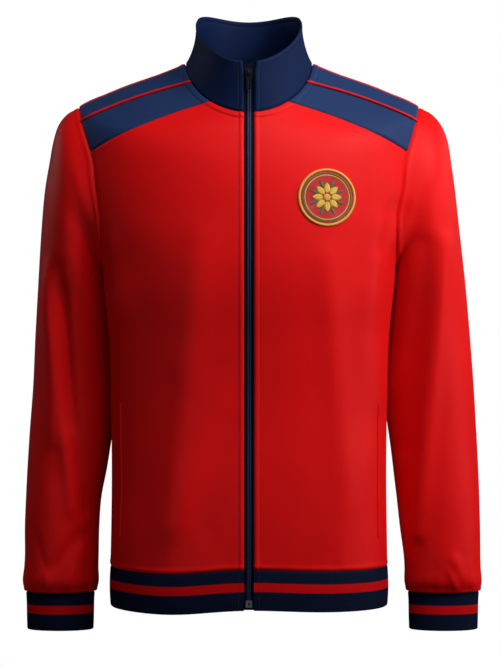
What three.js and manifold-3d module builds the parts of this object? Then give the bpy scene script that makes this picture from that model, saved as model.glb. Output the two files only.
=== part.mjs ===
// Track jacket, filled out as if worn. Millimetres, +Z up, the front faces -Y.
// The origin lies midway between the two high points of the shoulders.
import * as THREE from 'three';
import Module from 'manifold-3d';
import { mergeVertices } from 'three/addons/utils/BufferGeometryUtils.js';

// Driving dimensions

const WALL = 2.2;
const RIB_WALL = 3;
const SEAM = 0.15;
const PIPING_RADIUS = 1.4;
const PIPING_SEAM = PIPING_RADIUS + 0.5;
const PIPING_END = 2.6;

const HEM_SEAM_Z = -651;
const HEM_BOTTOM_Z = -698;
const CUFF_BOTTOM_Z = -736.5;
const FRONT_LIFT = { height: 4, halfWidth: 75, fade: 140 };
const FRONT_EDGE_X = 6.2;
const PLACKET_X = 18;
const COLLAR_TOP_EDGE_X = 8.4;
const COLLAR_SPREAD_Z = -24;

const NECK = 748;
const ARMPIT = 399;
const ARMHOLE = { centre: 496.5, halfHeight: 97.5, halfAngle: 29, power: 2.4 };
const REAR_SEAM = { angle: 89, turn: 178 };
// The shoulder seams seen from the front: from the neck to the armhole, bowed up in the middle.
const SHOULDER_LINES = {
  yoke: { neckX: 49.6, neckZ: -58.5, armX: 197, armZ: -118, bow: 5 },
  front: { neckX: 80, neckZ: -32, armX: 208, armZ: -76, bow: 4 },
};

// Rings of the body: path runs up the side from the hem seam, over the shoulder, to the neck.
const BODY_COLUMNS = ['path', 'halfWidth', 'front', 'back', 'middle', 'zSide', 'zFront', 'zBack', 'power'];
const BODY_ROWS = [
  [0, 179, 116, 112, -4, -651, -651, -651, 2.6],
  [110, 177.5, 114, 108, -5, -541, -541, -541, 2.6],
  [211, 178.5, 112, 106, -6, -440, -442, -440, 2.55],
  [292, 181, 119, 113, -7, -359, -364, -359, 2.45],
  [356, 187.5, 127, 122, -8, -295, -306, -293, 2.4],
  [399, 192, 130, 127, -8, -252, -268, -246, 2.35],
  [430, 203, 129.5, 128, -7, -222, -242, -206, 2.25],
  [458, 212, 128, 128, -6, -195, -217, -170, 2.18],
  [503, 222, 124, 125, -4, -150, -178, -128, 2.1],
  [536, 224, 120, 120, -3, -117, -152, -96, 2.06],
  [568, 225.5, 115.5, 112, -2, -84, -132, -66, 2.04],
  [592, 221, 111.5, 106, -1, -61, -119, -46, 2.02],
  [609, 209, 109, 102, 0, -52, -111, -37, 2],
  [630, 185, 107, 98, 0, -42, -105, -30, 2],
  [665, 158, 104, 92, 0, -31, -98, -22, 2],
  [711, 115, 99, 84, 0, -16, -87, -11, 2],
  [748, 82.5, 93, 74, 0, -3, -74, -2, 2],
];

// Rings of a sleeve: its outer and inner edge seen from the front, with its middle and half depth.
const SLEEVE_COLUMNS = ['outerZ', 'innerZ', 'middle', 'halfDepth', 'outerRight', 'innerRight', 'outerLeft',
  'innerLeft'];
const SLEEVE_ROWS = [
  [-59, -252, 0, 60, 222, 192, 223, 192],
  [-66, -257, 0, 60, 236, 194, 238, 194.5],
  [-80, -262, 1, 61, 247.5, 194, 250, 195],
  [-100, -268, 4, 63, 254, 193.5, 258, 194.5],
  [-129, -277, 9, 66, 259.5, 192, 263, 193],
  [-168, -291, 15, 70, 266.5, 190.5, 269, 191.5],
  [-225, -312, 22, 72, 272, 188.5, 276, 189.5],
  [-290, -342, 29, 71, 276.5, 186, 284, 187],
  [-355, -382, 32, 68, 280.5, 183.5, 290, 185],
  [-420, -430, 32, 64, 283.5, 181, 295, 183],
  [-478, -480, 28, 59, 287.5, 180, 298, 184],
  [-525, -525, 23, 54, 290, 185.5, 300, 188.5],
  [-566, -566, 17, 49, 291.5, 193, 301, 193],
  [-605, -605, 12, 44, 292.5, 195.5, 301.5, 197],
  [-640, -640, 8, 40, 292, 196, 301.5, 201.5],
  [-668, -668, 6, 36, 293, 197, 301.5, 203.5],
  [-688, -688, 5, 26, 289, 202, 298, 208],
];
const SLEEVE_BLEND_ROWS = 4;

// Folds: a soft ridge (height above 0) or trough along a line seen from the front, on one face.
const FOLD_COLUMNS = ['x1', 'z1', 'x2', 'z2', 'width', 'height', 'face'];
const BODY_FOLDS = [
  [168, -215, 150, -330, 16, 4, -1],
  [186, -190, 164, -250, 11, -4, -1],
  [150, -345, 166, -440, 18, 3, -1],
  [-120, -640, -40, -430, 26, 2.5, -1],
  [-150, -560, -95, -420, 22, -2, -1],
  [-176, -235, -160, -330, 13, 3, -1],
  [90, -645, 140, -500, 24, 2.5, -1],
  [-60, -600, -20, -470, 22, -1.8, -1],
  [-165, -200, -60, -300, 20, 4, 1],
  [165, -210, 70, -320, 22, 4, 1],
  [-140, -420, 20, -480, 24, -4, 1],
  [150, -500, -10, -560, 24, 4, 1],
  [-120, -600, -20, -560, 20, 3, 1],
].map(named(FOLD_COLUMNS));
const RIGHT_SLEEVE_FOLDS = [
  [-262, -285, -252, -490, 10, 4, -1],
  [-238, -300, -232, -470, 12, -5, -1],
  [-226, -150, -214, -240, 13, -4, -1],
  [-270, -520, -240, -640, 12, 3, -1],
  [-215, -610, -255, -660, 9, -3, -1],
  [-262, -250, -232, -420, 16, -5, 1],
  [-220, -420, -270, -560, 16, 5, 1],
].map(named(FOLD_COLUMNS));
const LEFT_SLEEVE_FOLDS = [
  [245, -250, 236, -445, 13, -6, -1],
  [262, -300, 252, -390, 9, 4, -1],
  [212, -170, 222, -260, 13, -4, -1],
  [262, -640, 276, -672, 8, 3, -1],
  [288, -480, 250, -620, 12, 3, -1],
  [262, -240, 236, -430, 16, -5, 1],
  [225, -430, 275, -570, 16, 5, 1],
].map(named(FOLD_COLUMNS));

const BODY_RINGS = BODY_ROWS.map(named(BODY_COLUMNS));
const SLEEVE_RINGS = SLEEVE_ROWS.map(named(SLEEVE_COLUMNS));

const COUNT = { neck: 4, yokeSeam: 7, side: 13, armFront: 9, yokeEnd: 3, strapEnd: 2, armBack: 12, back: 10,
  collar: 4, band: 2, cuff: 2, pipingSides: 6 };

const COLLAR = { halfWidth: 69, front: 92, back: 66, side: 50, tilt: -45, frontCurve: -15.5, backCurve: -33.5,
  flare: 2.2 };

const POCKET = { topZ: -440, bottomZ: -612, angle: 64, width: 7, thickness: 1.2, lift: 0.9 };

const TAPE = { inner: 2.6, outer: 15, thickness: 1, depth: RIB_WALL + 0.3 };
const CHAIN = { halfWidth: 2.2, thickness: 2.4, lift: 0.1, gap: 0.5 };
const SLIDER = { topZ: -19, bottomZ: -32, halfWidth: 4.8, plate: 1.6, corner: 2, post: 1.4, postHeight: 3.2,
  room: 0.4 };
const BAIL = { halfWidth: 1.1, reach: 4.4, halfHeight: 3.3, band: 0.9, root: 0.3, shoulder: 0.6, shift: 0.1 };
const TAB = { axisZ: -25.5, bar: 0.6, halfWidth: 3.1, arm: 1.1, hole: 4.4, length: 21, halfThickness: 0.7,
  corner: 1.2, slotHalfWidth: 1.1, slotBottom: 2.6, slotTop: 6.5, cutDepth: 3 };
const BOX = { halfWidth: 4, height: 9, halfDepth: 2.6, gap: 0.3, corner: 1 };
const ZIP_BOTTOM_Z = HEM_BOTTOM_Z + FRONT_LIFT.height;

const COLOURS = { red: '#b8141c', darkRed: '#a51119', navy: '#14264a', tape: '#101b33', metal: '#2a2c30',
  steel: '#6d716f' };

// Small helpers

function named(columns) {
  return (row) => Object.fromEntries(columns.map((name, k) => [name, row[k]]));
}

function radians(degrees) {
  return THREE.MathUtils.degToRad(degrees);
}

function power(value, exponent) {
  return Math.sign(value) * Math.abs(value) ** exponent;
}

function mix(a, b, t) {
  return a + (b - a) * t;
}

function smooth(t) {
  const k = Math.min(Math.max(t, 0), 1);
  return k * k * (3 - 2 * k);
}

function steps(count) {
  return Array.from({ length: count + 1 }, (unused, k) => k / count);
}

function slope(rows, k, key, name) {
  const before = rows[Math.max(k - 1, 0)];
  const after = rows[Math.min(k + 1, rows.length - 1)];
  return (after[name] - before[name]) / (after[key] - before[key]);
}

// A smooth curve through every column of a table, at one value of its key column.
function sample(rows, key, at) {
  let k = 0;
  while (k < rows.length - 2 && rows[k + 1][key] < at) {
    k += 1;
  }
  const [low, high] = [rows[k], rows[k + 1]];
  const span = high[key] - low[key];
  const t = (at - low[key]) / span;
  const result = {};
  for (const name of Object.keys(low)) {
    const m0 = slope(rows, k, key, name) * span;
    const m1 = slope(rows, k + 1, key, name) * span;
    const rise = high[name] - low[name];
    result[name] = low[name] + t * (m0 + t * (3 * rise - 2 * m0 - m1 + t * (m0 + m1 - 2 * rise)));
  }
  return result;
}

// How far the folds push a point of a surface outward.
function foldHeight(folds, point, normal) {
  let height = 0;
  for (const fold of folds) {
    const dx = fold.x2 - fold.x1;
    const dz = fold.z2 - fold.z1;
    const along = ((point.x - fold.x1) * dx + (point.z - fold.z1) * dz) / (dx * dx + dz * dz);
    const near = Math.min(Math.max(along, 0), 1);
    const gap = Math.hypot(point.x - fold.x1 - near * dx, point.z - fold.z1 - near * dz);
    const fade = smooth(0.15 + 3 * Math.min(along + 0.2, 1.2 - along));
    const facing = smooth(1.6 * normal.y * fold.face);
    height += fold.height * fade * facing * Math.exp(-((gap / fold.width) ** 2));
  }
  return height;
}

// The body's surface, by the angle round it (0 at the front, 90 on the wearer's left) and the path up it.

function plainBody(angle, path) {
  const ring = sample(BODY_RINGS, 'path', path);
  const turn = radians(angle);
  const forward = power(Math.cos(turn), 2 / ring.power);
  const reach = forward > 0 ? ring.front + ring.middle : ring.back - ring.middle;
  const rise = (forward > 0 ? ring.zFront : ring.zBack) - ring.zSide;
  const tilt = forward * forward * 1.15 / (Math.abs(forward) + 0.15);
  const x = ring.halfWidth * power(Math.sin(turn), 2 / ring.power);
  const level = forward > 0 ? smooth(1 - path / FRONT_LIFT.fade) : 0;
  const near = level * Math.exp(-((x / FRONT_LIFT.halfWidth) ** 2));
  const z = ring.zSide + rise * tilt + FRONT_LIFT.height * near;
  return new THREE.Vector3(x, ring.middle - reach * forward, z);
}

function surfaceNormal(surface, angle, path) {
  const across = surface(angle + 0.4, path).sub(surface(angle - 0.4, path));
  const up = surface(angle, path + 1.5).sub(surface(angle, path - 1.5));
  return across.cross(up).normalize();
}

function bodyPoint(angle, path) {
  const at = Math.min(Math.max(path, 0), NECK);
  const point = plainBody(angle, at);
  const normal = surfaceNormal(plainBody, angle, at);
  const fade = smooth(at / 60) * smooth((NECK - at) / 120);
  return point.addScaledVector(normal, fade * foldHeight(BODY_FOLDS, point, normal));
}

function bodyNormal(angle, path) {
  return surfaceNormal(plainBody, angle, Math.min(Math.max(path, 0), NECK));
}

function frontEdgeAngle(path, x = FRONT_EDGE_X) {
  const ring = sample(BODY_RINGS, 'path', path);
  return THREE.MathUtils.radToDeg(Math.asin((x / ring.halfWidth) ** (ring.power / 2)));
}

// A point of the armhole on the wearer's left: turn runs from the armpit (0) up the front to the top (180).
function armhole(turn) {
  const a = radians(turn);
  const angle = 90 - ARMHOLE.halfAngle * power(Math.sin(a), 2 / ARMHOLE.power);
  const path = ARMHOLE.centre - ARMHOLE.halfHeight * power(Math.cos(a), 2 / ARMHOLE.power);
  return [angle, path];
}

function span(from, to, count) {
  return steps(count).map((t) => mix(from, to, t));
}

// The place between two limits at which a rising function passes nought
function solve(low, high, rise) {
  let [from, to] = [low, high];
  for (let k = 0; k < 40; k += 1) {
    const middle = (from + to) / 2;
    if (rise(middle) < 0) {
      from = middle;
    } else {
      to = middle;
    }
  }
  return (from + to) / 2;
}

function heightOverLine(line, [angle, path]) {
  const point = plainBody(angle, path);
  const t = (point.x - line.neckX) / (line.armX - line.neckX);
  return point.z - mix(line.neckZ, line.armZ, t) - 4 * line.bow * t * (1 - t);
}

// A seam across the shoulder, from the neck to the armhole, and the turn at which it meets the armhole.
function shoulderSeam(line) {
  const turn = solve(60, 175, (at) => heightOverLine(line, armhole(at)));
  const [, armPath] = armhole(turn);
  const inner = span(NECK, armPath, COUNT.yokeSeam).slice(0, -1);
  const points = inner.map((path) => [solve(5, 89, (angle) => heightOverLine(line, [angle, path])), path]);
  return { turn, points: [...points, armhole(turn)] };
}

function rearSeam() {
  const [angle, path] = armhole(REAR_SEAM.turn);
  const points = steps(COUNT.yokeSeam).map((t) => [mix(REAR_SEAM.angle, angle, t), mix(NECK, path, t)]);
  return { turn: REAR_SEAM.turn, points };
}

const SEAMS = {
  yoke: shoulderSeam(SHOULDER_LINES.yoke),
  front: shoulderSeam(SHOULDER_LINES.front),
  rear: rearSeam(),
};

const NECK_ANGLE = {
  yoke: SEAMS.yoke.points[0][0],
  front: SEAMS.front.points[0][0],
  rear: REAR_SEAM.angle,
};

const TURNS = {
  front: span(0, SEAMS.yoke.turn, COUNT.armFront),
  yoke: span(SEAMS.yoke.turn, SEAMS.front.turn, COUNT.yokeEnd),
  strap: span(SEAMS.front.turn, SEAMS.rear.turn, COUNT.strapEnd),
  back: span(SEAMS.rear.turn, 360, COUNT.armBack),
};

// Grids: rows of points, which a panel turns into a closed wall.

// Fills a grid between its four edges, spaced as the bottom edge is in its angles (0) or its paths (1).
// The top edge's shape is felt only above the row named level.
function blend(bottom, top, left, right, spacing = 0, level = 0) {
  const across = bottom.length - 1;
  const up = left.length - 1;
  const [start, end] = [bottom[0][spacing], bottom[across][spacing]];
  return left.map((unused, j) => bottom.map((unusedToo, i) => {
    const s = (bottom[i][spacing] - start) / (end - start);
    const t = Math.max((j - level) / (up - level), 0);
    return [0, 1].map((k) => mix(left[j][k], right[j][k], s) + mix(bottom[i][k], top[i][k], t)
      - mix(mix(bottom[0][k], bottom[across][k], s), mix(top[0][k], top[across][k], s), t));
  }));
}

// Moves the edges of a grid in by its insets. A row's entry in moves is used at its end instead, where given.
function pullIn(grid, inset, moves = []) {
  const last = grid.length - 1;
  const end = grid[0].length - 1;
  const pull = (point, toward, distance) => {
    point.addScaledVector(toward.clone().sub(point).normalize(), distance);
  };
  grid.forEach((row, j) => {
    const [start, finish] = moves[j] ?? [];
    const [first, final] = [row[1].clone(), row[end - 1].clone()];
    if (start) {
      row[0].add(start);
    } else {
      pull(row[0], first, inset.left);
    }
    if (finish) {
      row[end].add(finish);
    } else {
      pull(row[end], final, inset.right);
    }
  });
  for (let i = 0; i <= end; i += 1) {
    pull(grid[0][i], grid[1][i], inset.bottom);
    pull(grid[last][i], grid[last - 1][i], inset.top);
  }
  return grid;
}

function signedVolume(points, faces) {
  const cross = new THREE.Vector3();
  return faces.reduce((sum, [a, b, c]) => sum + points[a].dot(cross.crossVectors(points[b], points[c])), 0);
}

function solid(points, faces) {
  const turned = signedVolume(points, faces) < 0;
  const geometry = new THREE.BufferGeometry();
  geometry.setAttribute('position', new THREE.Float32BufferAttribute(points.flatMap((p) => p.toArray()), 3));
  geometry.setIndex(faces.flatMap(([a, b, c]) => (turned ? [a, c, b] : [a, b, c])));
  return geometry;
}

// A closed wall between an outer and an inner grid, open at its sides or joined round into a tube.
function wall(outer, inner, round = false) {
  const up = outer.length;
  const across = outer[0].length;
  const points = [...outer.flat(), ...inner.flat()];
  const at = (side, j, i) => side * up * across + j * across + (i % across);
  const faces = [];
  const quad = (a, b, c, d) => faces.push([a, b, c], [a, c, d]);
  const columns = round ? across : across - 1;
  for (let i = 0; i < columns; i += 1) {
    for (let j = 0; j < up - 1; j += 1) {
      quad(at(0, j, i), at(0, j, i + 1), at(0, j + 1, i + 1), at(0, j + 1, i));
      quad(at(1, j, i), at(1, j + 1, i), at(1, j + 1, i + 1), at(1, j, i + 1));
    }
    quad(at(1, 0, i), at(1, 0, i + 1), at(0, 0, i + 1), at(0, 0, i));
    quad(at(0, up - 1, i), at(0, up - 1, i + 1), at(1, up - 1, i + 1), at(1, up - 1, i));
  }
  if (!round) {
    const end = across - 1;
    for (let j = 0; j < up - 1; j += 1) {
      quad(at(1, j + 1, 0), at(1, j, 0), at(0, j, 0), at(0, j + 1, 0));
      quad(at(0, j + 1, end), at(0, j, end), at(1, j, end), at(1, j + 1, end));
    }
  }
  return solid(points, faces);
}

function offset(grid, normals, distance) {
  return grid.map((row, j) => row.map((p, i) => p.clone().addScaledVector(normals[j][i], distance)));
}

// Normals of a grid that is joined round, one for each of its points.
function roundNormals(grid) {
  const across = grid[0].length;
  return grid.map((row, j) => row.map((unused, i) => {
    const low = grid[Math.max(j - 1, 0)][i];
    const high = grid[Math.min(j + 1, grid.length - 1)][i];
    const side = row[(i + 1) % across].clone().sub(row[(i + across - 1) % across]);
    return side.cross(high.clone().sub(low)).normalize();
  }));
}

// A panel of the body from its grid of angles and paths.
function panel(grid, inset, moves) {
  const outer = pullIn(grid.map((row) => row.map(([angle, path]) => bodyPoint(angle, path))), inset, moves);
  const normals = grid.map((row) => row.map(([angle, path]) => bodyNormal(angle, path)));
  return wall(outer, offset(outer, normals, -WALL));
}

const sidePaths = span(0, ARMPIT, COUNT.side);
const neckPaths = span(ARMPIT, NECK, COUNT.armFront);
// Angles from the front edge round to an end, with one row at the edge and the next at the placket's line
function frontAngles(path, end, count) {
  return [frontEdgeAngle(path), ...span(frontEdgeAngle(path, PLACKET_X), end, count)];
}

const frontNeckAngles = frontAngles(NECK, NECK_ANGLE.yoke, COUNT.neck - 1);
const backNeckAngles = span(NECK_ANGLE.rear, 360 - NECK_ANGLE.rear, COUNT.back);

const hemFrontAngles = frontAngles(0, 90, COUNT.neck - 1 + COUNT.yokeSeam);
const hemBackAngles = span(90, 270, COUNT.back + 2 * COUNT.yokeSeam);

// The armhole of one side: its points, and the way out of the cloth into the hole at each, by turn.
function armholeRing(side) {
  const turns = [...TURNS.front, ...TURNS.yoke.slice(1), ...TURNS.strap.slice(1), ...TURNS.back.slice(1, -1)];
  const ring = turns.map(armhole);
  const points = ring.map(([angle, path]) => bodyPoint(angle * side, path));
  const normals = ring.map(([angle, path]) => bodyNormal(angle * side, path));
  const middle = points.reduce((sum, p) => sum.add(p), new THREE.Vector3()).divideScalar(points.length);
  const away = points.map((point, i) => {
    const next = points[(i + 1) % points.length];
    const before = points[(i + points.length - 1) % points.length];
    const out = normals[i].clone().cross(next.clone().sub(before)).normalize();
    return out.dot(middle.clone().sub(point)) < 0 ? out.negate() : out;
  });
  return { turns, points, away };
}

const ARMHOLES = { right: armholeRing(-1), left: armholeRing(1) };

// How a panel's edge points on an armhole move in from the seam
function armholeMoves(turns, side) {
  const ring = side > 0 ? ARMHOLES.left : ARMHOLES.right;
  return turns.map((turn) => ring.away[ring.turns.indexOf(turn % 360)].clone().multiplyScalar(-SEAM));
}

// Body pieces on the wearer's left; the right one is its mirror in angle

function mirrored(grid, side) {
  return grid.map((row) => row.map(([angle, path]) => [angle * side, path]));
}

function frontPanel(side) {
  const left = [...sidePaths, ...neckPaths.slice(1)].map((path) => [frontEdgeAngle(path), path]);
  const right = [...sidePaths.slice(0, -1).map((path) => [90, path]), ...TURNS.front.map(armhole)];
  const top = [...frontNeckAngles.map((angle) => [angle, NECK]), ...SEAMS.yoke.points.slice(1)];
  const bottom = hemFrontAngles.map((angle) => [angle, 0]);
  const inset = { left: 0, right: SEAM, bottom: SEAM, top: SEAM };
  const armMoves = armholeMoves(TURNS.front, side).map((move) => [null, move]);
  const moves = [...sidePaths.slice(0, -1).map(() => []), ...armMoves];
  return panel(mirrored(blend(bottom, top, left, right, 0, COUNT.side), side), inset, moves);
}

function shoulderPiece(lower, upper, turns, side, inset) {
  const left = turns.map((unused, k) => {
    const angle = mix(NECK_ANGLE[lower], NECK_ANGLE[upper], k / (turns.length - 1));
    return [angle, NECK];
  });
  const grid = blend(SEAMS[lower].points, SEAMS[upper].points, left, turns.map(armhole), 1);
  const moves = armholeMoves(turns, side).map((move) => [null, move]);
  return panel(mirrored(grid, side), { left: SEAM, right: SEAM, ...inset }, moves);
}

function yoke(side) {
  return shoulderPiece('yoke', 'front', TURNS.yoke, side, { bottom: SEAM, top: PIPING_SEAM });
}

function strap(side) {
  return shoulderPiece('front', 'rear', TURNS.strap, side, { bottom: PIPING_SEAM, top: PIPING_SEAM });
}

function backPanel() {
  const across = ([angle, path]) => [360 - angle, path];
  const armUp = [...TURNS.back].reverse().map(armhole);
  const left = [...sidePaths.slice(0, -1).map((path) => [90, path]), ...armUp];
  const seam = [...SEAMS.rear.points].reverse();
  const neck = backNeckAngles.slice(1, -1).map((angle) => [angle, NECK]);
  const top = [...seam, ...neck, ...[...seam].reverse().map(across)];
  const bottom = hemBackAngles.map((angle) => [angle, 0]);
  const grid = blend(bottom, top, left, left.map(across), 0, COUNT.side);
  const [onLeft, onRight] = [1, -1].map((side) => armholeMoves([...TURNS.back].reverse(), side));
  const moves = [...sidePaths.slice(0, -1).map(() => []), ...onLeft.map((move, k) => [move, onRight[k]])];
  return panel(grid, { left: SEAM, right: SEAM, bottom: SEAM, top: PIPING_SEAM }, moves);
}

// A round cord laid along points, with flat ends.
function cord(points, normals, radius, sides) {
  const rings = points.map((point, k) => {
    const before = points[Math.max(k - 1, 0)];
    const after = points[Math.min(k + 1, points.length - 1)];
    const along = after.clone().sub(before).normalize();
    const across = along.clone().cross(normals[k]).normalize();
    const up = across.clone().cross(along);
    return Array.from({ length: sides }, (unused, i) => {
      const turn = 2 * Math.PI * (i + 0.5) / sides;
      return point.clone().addScaledVector(across, radius * Math.cos(turn))
        .addScaledVector(up, radius * Math.sin(turn));
    });
  });
  const all = rings.flat();
  const at = (k, i) => k * sides + (i % sides);
  const faces = [];
  for (let k = 0; k < rings.length - 1; k += 1) {
    for (let i = 0; i < sides; i += 1) {
      faces.push([at(k, i), at(k, i + 1), at(k + 1, i + 1)], [at(k, i), at(k + 1, i + 1), at(k + 1, i)]);
    }
  }
  const last = rings.length - 1;
  for (let i = 1; i < sides - 1; i += 1) {
    faces.push([at(0, 0), at(0, i + 1), at(0, i)], [at(last, 0), at(last, i), at(last, i + 1)]);
  }
  return solid(all, faces);
}

function piping(name, side) {
  const seam = SEAMS[name].points.map(([angle, path]) => [angle * side, path]);
  const points = seam.map(([angle, path]) => bodyPoint(angle, path));
  const normals = seam.map(([angle, path]) => bodyNormal(angle, path));
  const end = points.length - 1;
  const trim = (from, to) => from.addScaledVector(to.clone().sub(from).normalize(), PIPING_END);
  trim(points[0], points[1]);
  trim(points[end], points[end - 1]);
  return cord(points, normals, PIPING_RADIUS, COUNT.pipingSides);
}

// Collar: from the neck seam up to its rim

function neckRim(angle) {
  const turn = radians(angle);
  const c = Math.cos(turn);
  const curve = c > 0 ? COLLAR.frontCurve : COLLAR.backCurve;
  const depth = c > 0 ? COLLAR.front : COLLAR.back;
  return new THREE.Vector3(COLLAR.halfWidth * Math.sin(turn), -depth * c, COLLAR.side + COLLAR.tilt * c
    + curve * c * c);
}

function collarPoint(angle, height) {
  const low = plainBody(angle, NECK);
  const high = neckRim(angle);
  const inward = 1 - (1 - height) ** COLLAR.flare;
  const point = low.clone().lerp(high, inward);
  return point.setZ(mix(low.z, high.z, height));
}

// The angle at which the collar's front edge leaves room for the zip, wider above the slider.
function collarEdgeAngle(height, x = FRONT_EDGE_X) {
  const point = collarPoint(0, height);
  const rim = collarPoint(0, 1).z;
  const open = Math.max((point.z - COLLAR_SPREAD_Z) / (rim - COLLAR_SPREAD_Z), 0);
  const inward = 1 - (1 - height) ** COLLAR.flare;
  const halfWidth = mix(BODY_RINGS.at(-1).halfWidth, COLLAR.halfWidth, inward);
  return THREE.MathUtils.radToDeg(Math.asin((x + (COLLAR_TOP_EDGE_X - FRONT_EDGE_X) * open) / halfWidth));
}

function collarNormal(angle, height) {
  const at = Math.min(Math.max(height, 0.02), 0.98);
  const across = collarPoint(angle + 0.4, at).sub(collarPoint(angle - 0.4, at));
  const up = collarPoint(angle, at + 0.02).sub(collarPoint(angle, at - 0.02));
  return across.cross(up).normalize();
}

function collarAngles() {
  const yokeEnd = span(NECK_ANGLE.yoke, NECK_ANGLE.front, COUNT.yokeEnd);
  const strapEnd = span(NECK_ANGLE.front, NECK_ANGLE.rear, COUNT.strapEnd);
  const half = [...frontNeckAngles, ...yokeEnd.slice(1), ...strapEnd.slice(1)];
  const rest = [...half].reverse().map((angle) => 360 - angle);
  return [...half, ...backNeckAngles.slice(1, -1), ...rest];
}

function collar() {
  const angles = collarAngles();
  const fixed = frontEdgeAngle(NECK);
  const grid = steps(COUNT.collar).map((height) => {
    const shift = collarEdgeAngle(height) - fixed;
    return angles.map((angle) => {
      const near = smooth(1 - (Math.min(angle, 360 - angle) - fixed) / 30);
      return [angle + Math.sign(180 - angle) * shift * near, height];
    });
  });
  const outer = grid.map((row) => row.map(([angle, height]) => collarPoint(angle, height)));
  pullIn(outer, { left: 0, right: 0, bottom: SEAM, top: 0 });
  const normals = grid.map((row) => row.map(([angle, height]) => collarNormal(angle, height)));
  return wall(outer, offset(outer, normals, -RIB_WALL));
}

// Hem band: a ribbed ring below the body, open at the zip

function hemBand() {
  const front = hemFrontAngles;
  const half = front.slice(0, -1);
  const angles = [...half, ...hemBackAngles, ...[...half].reverse().map((angle) => 360 - angle)];
  const outer = steps(COUNT.band).map((t) => angles.map((angle) => {
    const point = plainBody(angle, 0);
    const bulge = 1.2 * Math.sin(Math.PI * t);
    const out = new THREE.Vector3(point.x, point.y, 0).normalize();
    const edge = Math.abs(point.x) < FRONT_EDGE_X + 1 && point.y < 0;
    point.addScaledVector(edge ? new THREE.Vector3(0, -1, 0) : out, bulge);
    return point.setZ(point.z - SEAM + t * (HEM_BOTTOM_Z - HEM_SEAM_Z));
  }));
  const normals = outer.map(() => angles.map((angle) => bodyNormal(angle, 0).setZ(0).normalize()));
  return wall(outer, offset(outer, normals, -RIB_WALL));
}

// Sleeves

function sleeveFrame(at, side) {
  const ring = sample(SLEEVE_RINGS.map((row, k) => ({ row: k, ...row })), 'row', at);
  const [outerX, innerX] = side > 0 ? [ring.outerLeft, ring.innerLeft] : [ring.outerRight, ring.innerRight];
  const outer = new THREE.Vector3(side * outerX, ring.middle, ring.outerZ);
  const inner = new THREE.Vector3(side * innerX, ring.middle, ring.innerZ);
  const centre = outer.clone().add(inner).divideScalar(2);
  return { centre, reach: outer.sub(centre), halfDepth: ring.halfDepth };
}

function ringPoint(frame, turn) {
  return frame.centre.clone().addScaledVector(frame.reach, Math.cos(turn))
    .add(new THREE.Vector3(0, -frame.halfDepth * Math.sin(turn), 0));
}

// The grid of a sleeve: its first ring lies on the armhole, and the others pass over to plain rings.
function sleeveGrid(side) {
  const { points, away } = side > 0 ? ARMHOLES.left : ARMHOLES.right;
  const start = sleeveFrame(0, side);
  const turns = points.map((point) => {
    const arm = point.clone().sub(start.centre);
    const up = arm.dot(start.reach) / start.reach.lengthSq();
    return Math.atan2(-arm.y / start.halfDepth, up);
  });
  const count = points.length;
  const even = turns.map((turn, i) => Math.PI - 2 * Math.PI * i / count);
  const folds = side > 0 ? LEFT_SLEEVE_FOLDS : RIGHT_SLEEVE_FOLDS;
  const last = SLEEVE_RINGS.length - 1;
  const grid = steps(last).map((share, j) => points.map((point, i) => {
    if (j === 0) {
      return point.clone().addScaledVector(away[i], SEAM);
    }
    const settle = smooth(j / SLEEVE_BLEND_ROWS);
    const first = i === 0 ? Math.PI : turns[i];
    const turn = mix(first, even[i], settle);
    const miss = point.clone().sub(ringPoint(start, first));
    return ringPoint(sleeveFrame(j, side), turn).addScaledVector(miss, 1 - settle);
  }));
  const normals = roundNormals(grid).map((row) => row.map((n) => n.multiplyScalar(-side)));
  grid.forEach((row, j) => row.forEach((point, i) => {
    const fade = smooth(j / 3) * smooth((last - j) / 2);
    point.addScaledVector(normals[j][i], fade * foldHeight(folds, point, normals[j][i]));
  }));
  normals[0].forEach((normal, i) => {
    const lean = normal.dot(away[i]);
    if (lean > 0) {
      normal.addScaledVector(away[i], -lean).normalize();
    }
  });
  return { grid, normals };
}

function sleeve(side) {
  const { grid, normals } = sleeveGrid(side);
  return wall(grid, offset(grid, normals, -WALL), true);
}

function cuff(side) {
  const last = sleeveGrid(side).grid.at(-1);
  const centre = last.reduce((sum, p) => sum.add(p), new THREE.Vector3()).divideScalar(last.length);
  const outer = steps(COUNT.cuff).map((t) => last.map((point) => {
    const scale = 1 - 0.02 * t;
    const ringed = point.clone().sub(centre).multiplyScalar(scale).add(centre);
    return ringed.setZ(mix(centre.z - 2 * SEAM, CUFF_BOTTOM_Z, t));
  }));
  const level = (normal) => normal.multiplyScalar(-side).setZ(0).normalize();
  const normals = roundNormals(outer).map((row) => row.map(level));
  return wall(outer, offset(outer, normals, -RIB_WALL), true);
}

// Pocket welt: a narrow strip laid on the front, from the front's own points moved out

function pathAtFront(z, angle) {
  return solve(0, NECK, (path) => plainBody(angle, path).z - z);
}

function pocketWelt(side) {
  const low = pathAtFront(POCKET.bottomZ, POCKET.angle);
  const high = pathAtFront(POCKET.topZ, POCKET.angle);
  const grid = span(low, high, 12).map((path) => {
    const ring = sample(BODY_RINGS, 'path', path);
    const half = THREE.MathUtils.radToDeg(POCKET.width / 2 / ring.halfWidth);
    return [POCKET.angle - half, POCKET.angle + half].map((angle) => [angle * side, path]);
  });
  const surface = grid.map((row) => row.map(([angle, path]) => bodyPoint(angle, path)));
  const normals = grid.map((row) => row.map(([angle, path]) => bodyNormal(angle, path)));
  const under = offset(surface, normals, POCKET.lift);
  return wall(offset(surface, normals, POCKET.lift + POCKET.thickness), under);
}

// Zip: two tapes behind the front edges, the chain, the slider with its pull tab, and the bottom box

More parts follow.
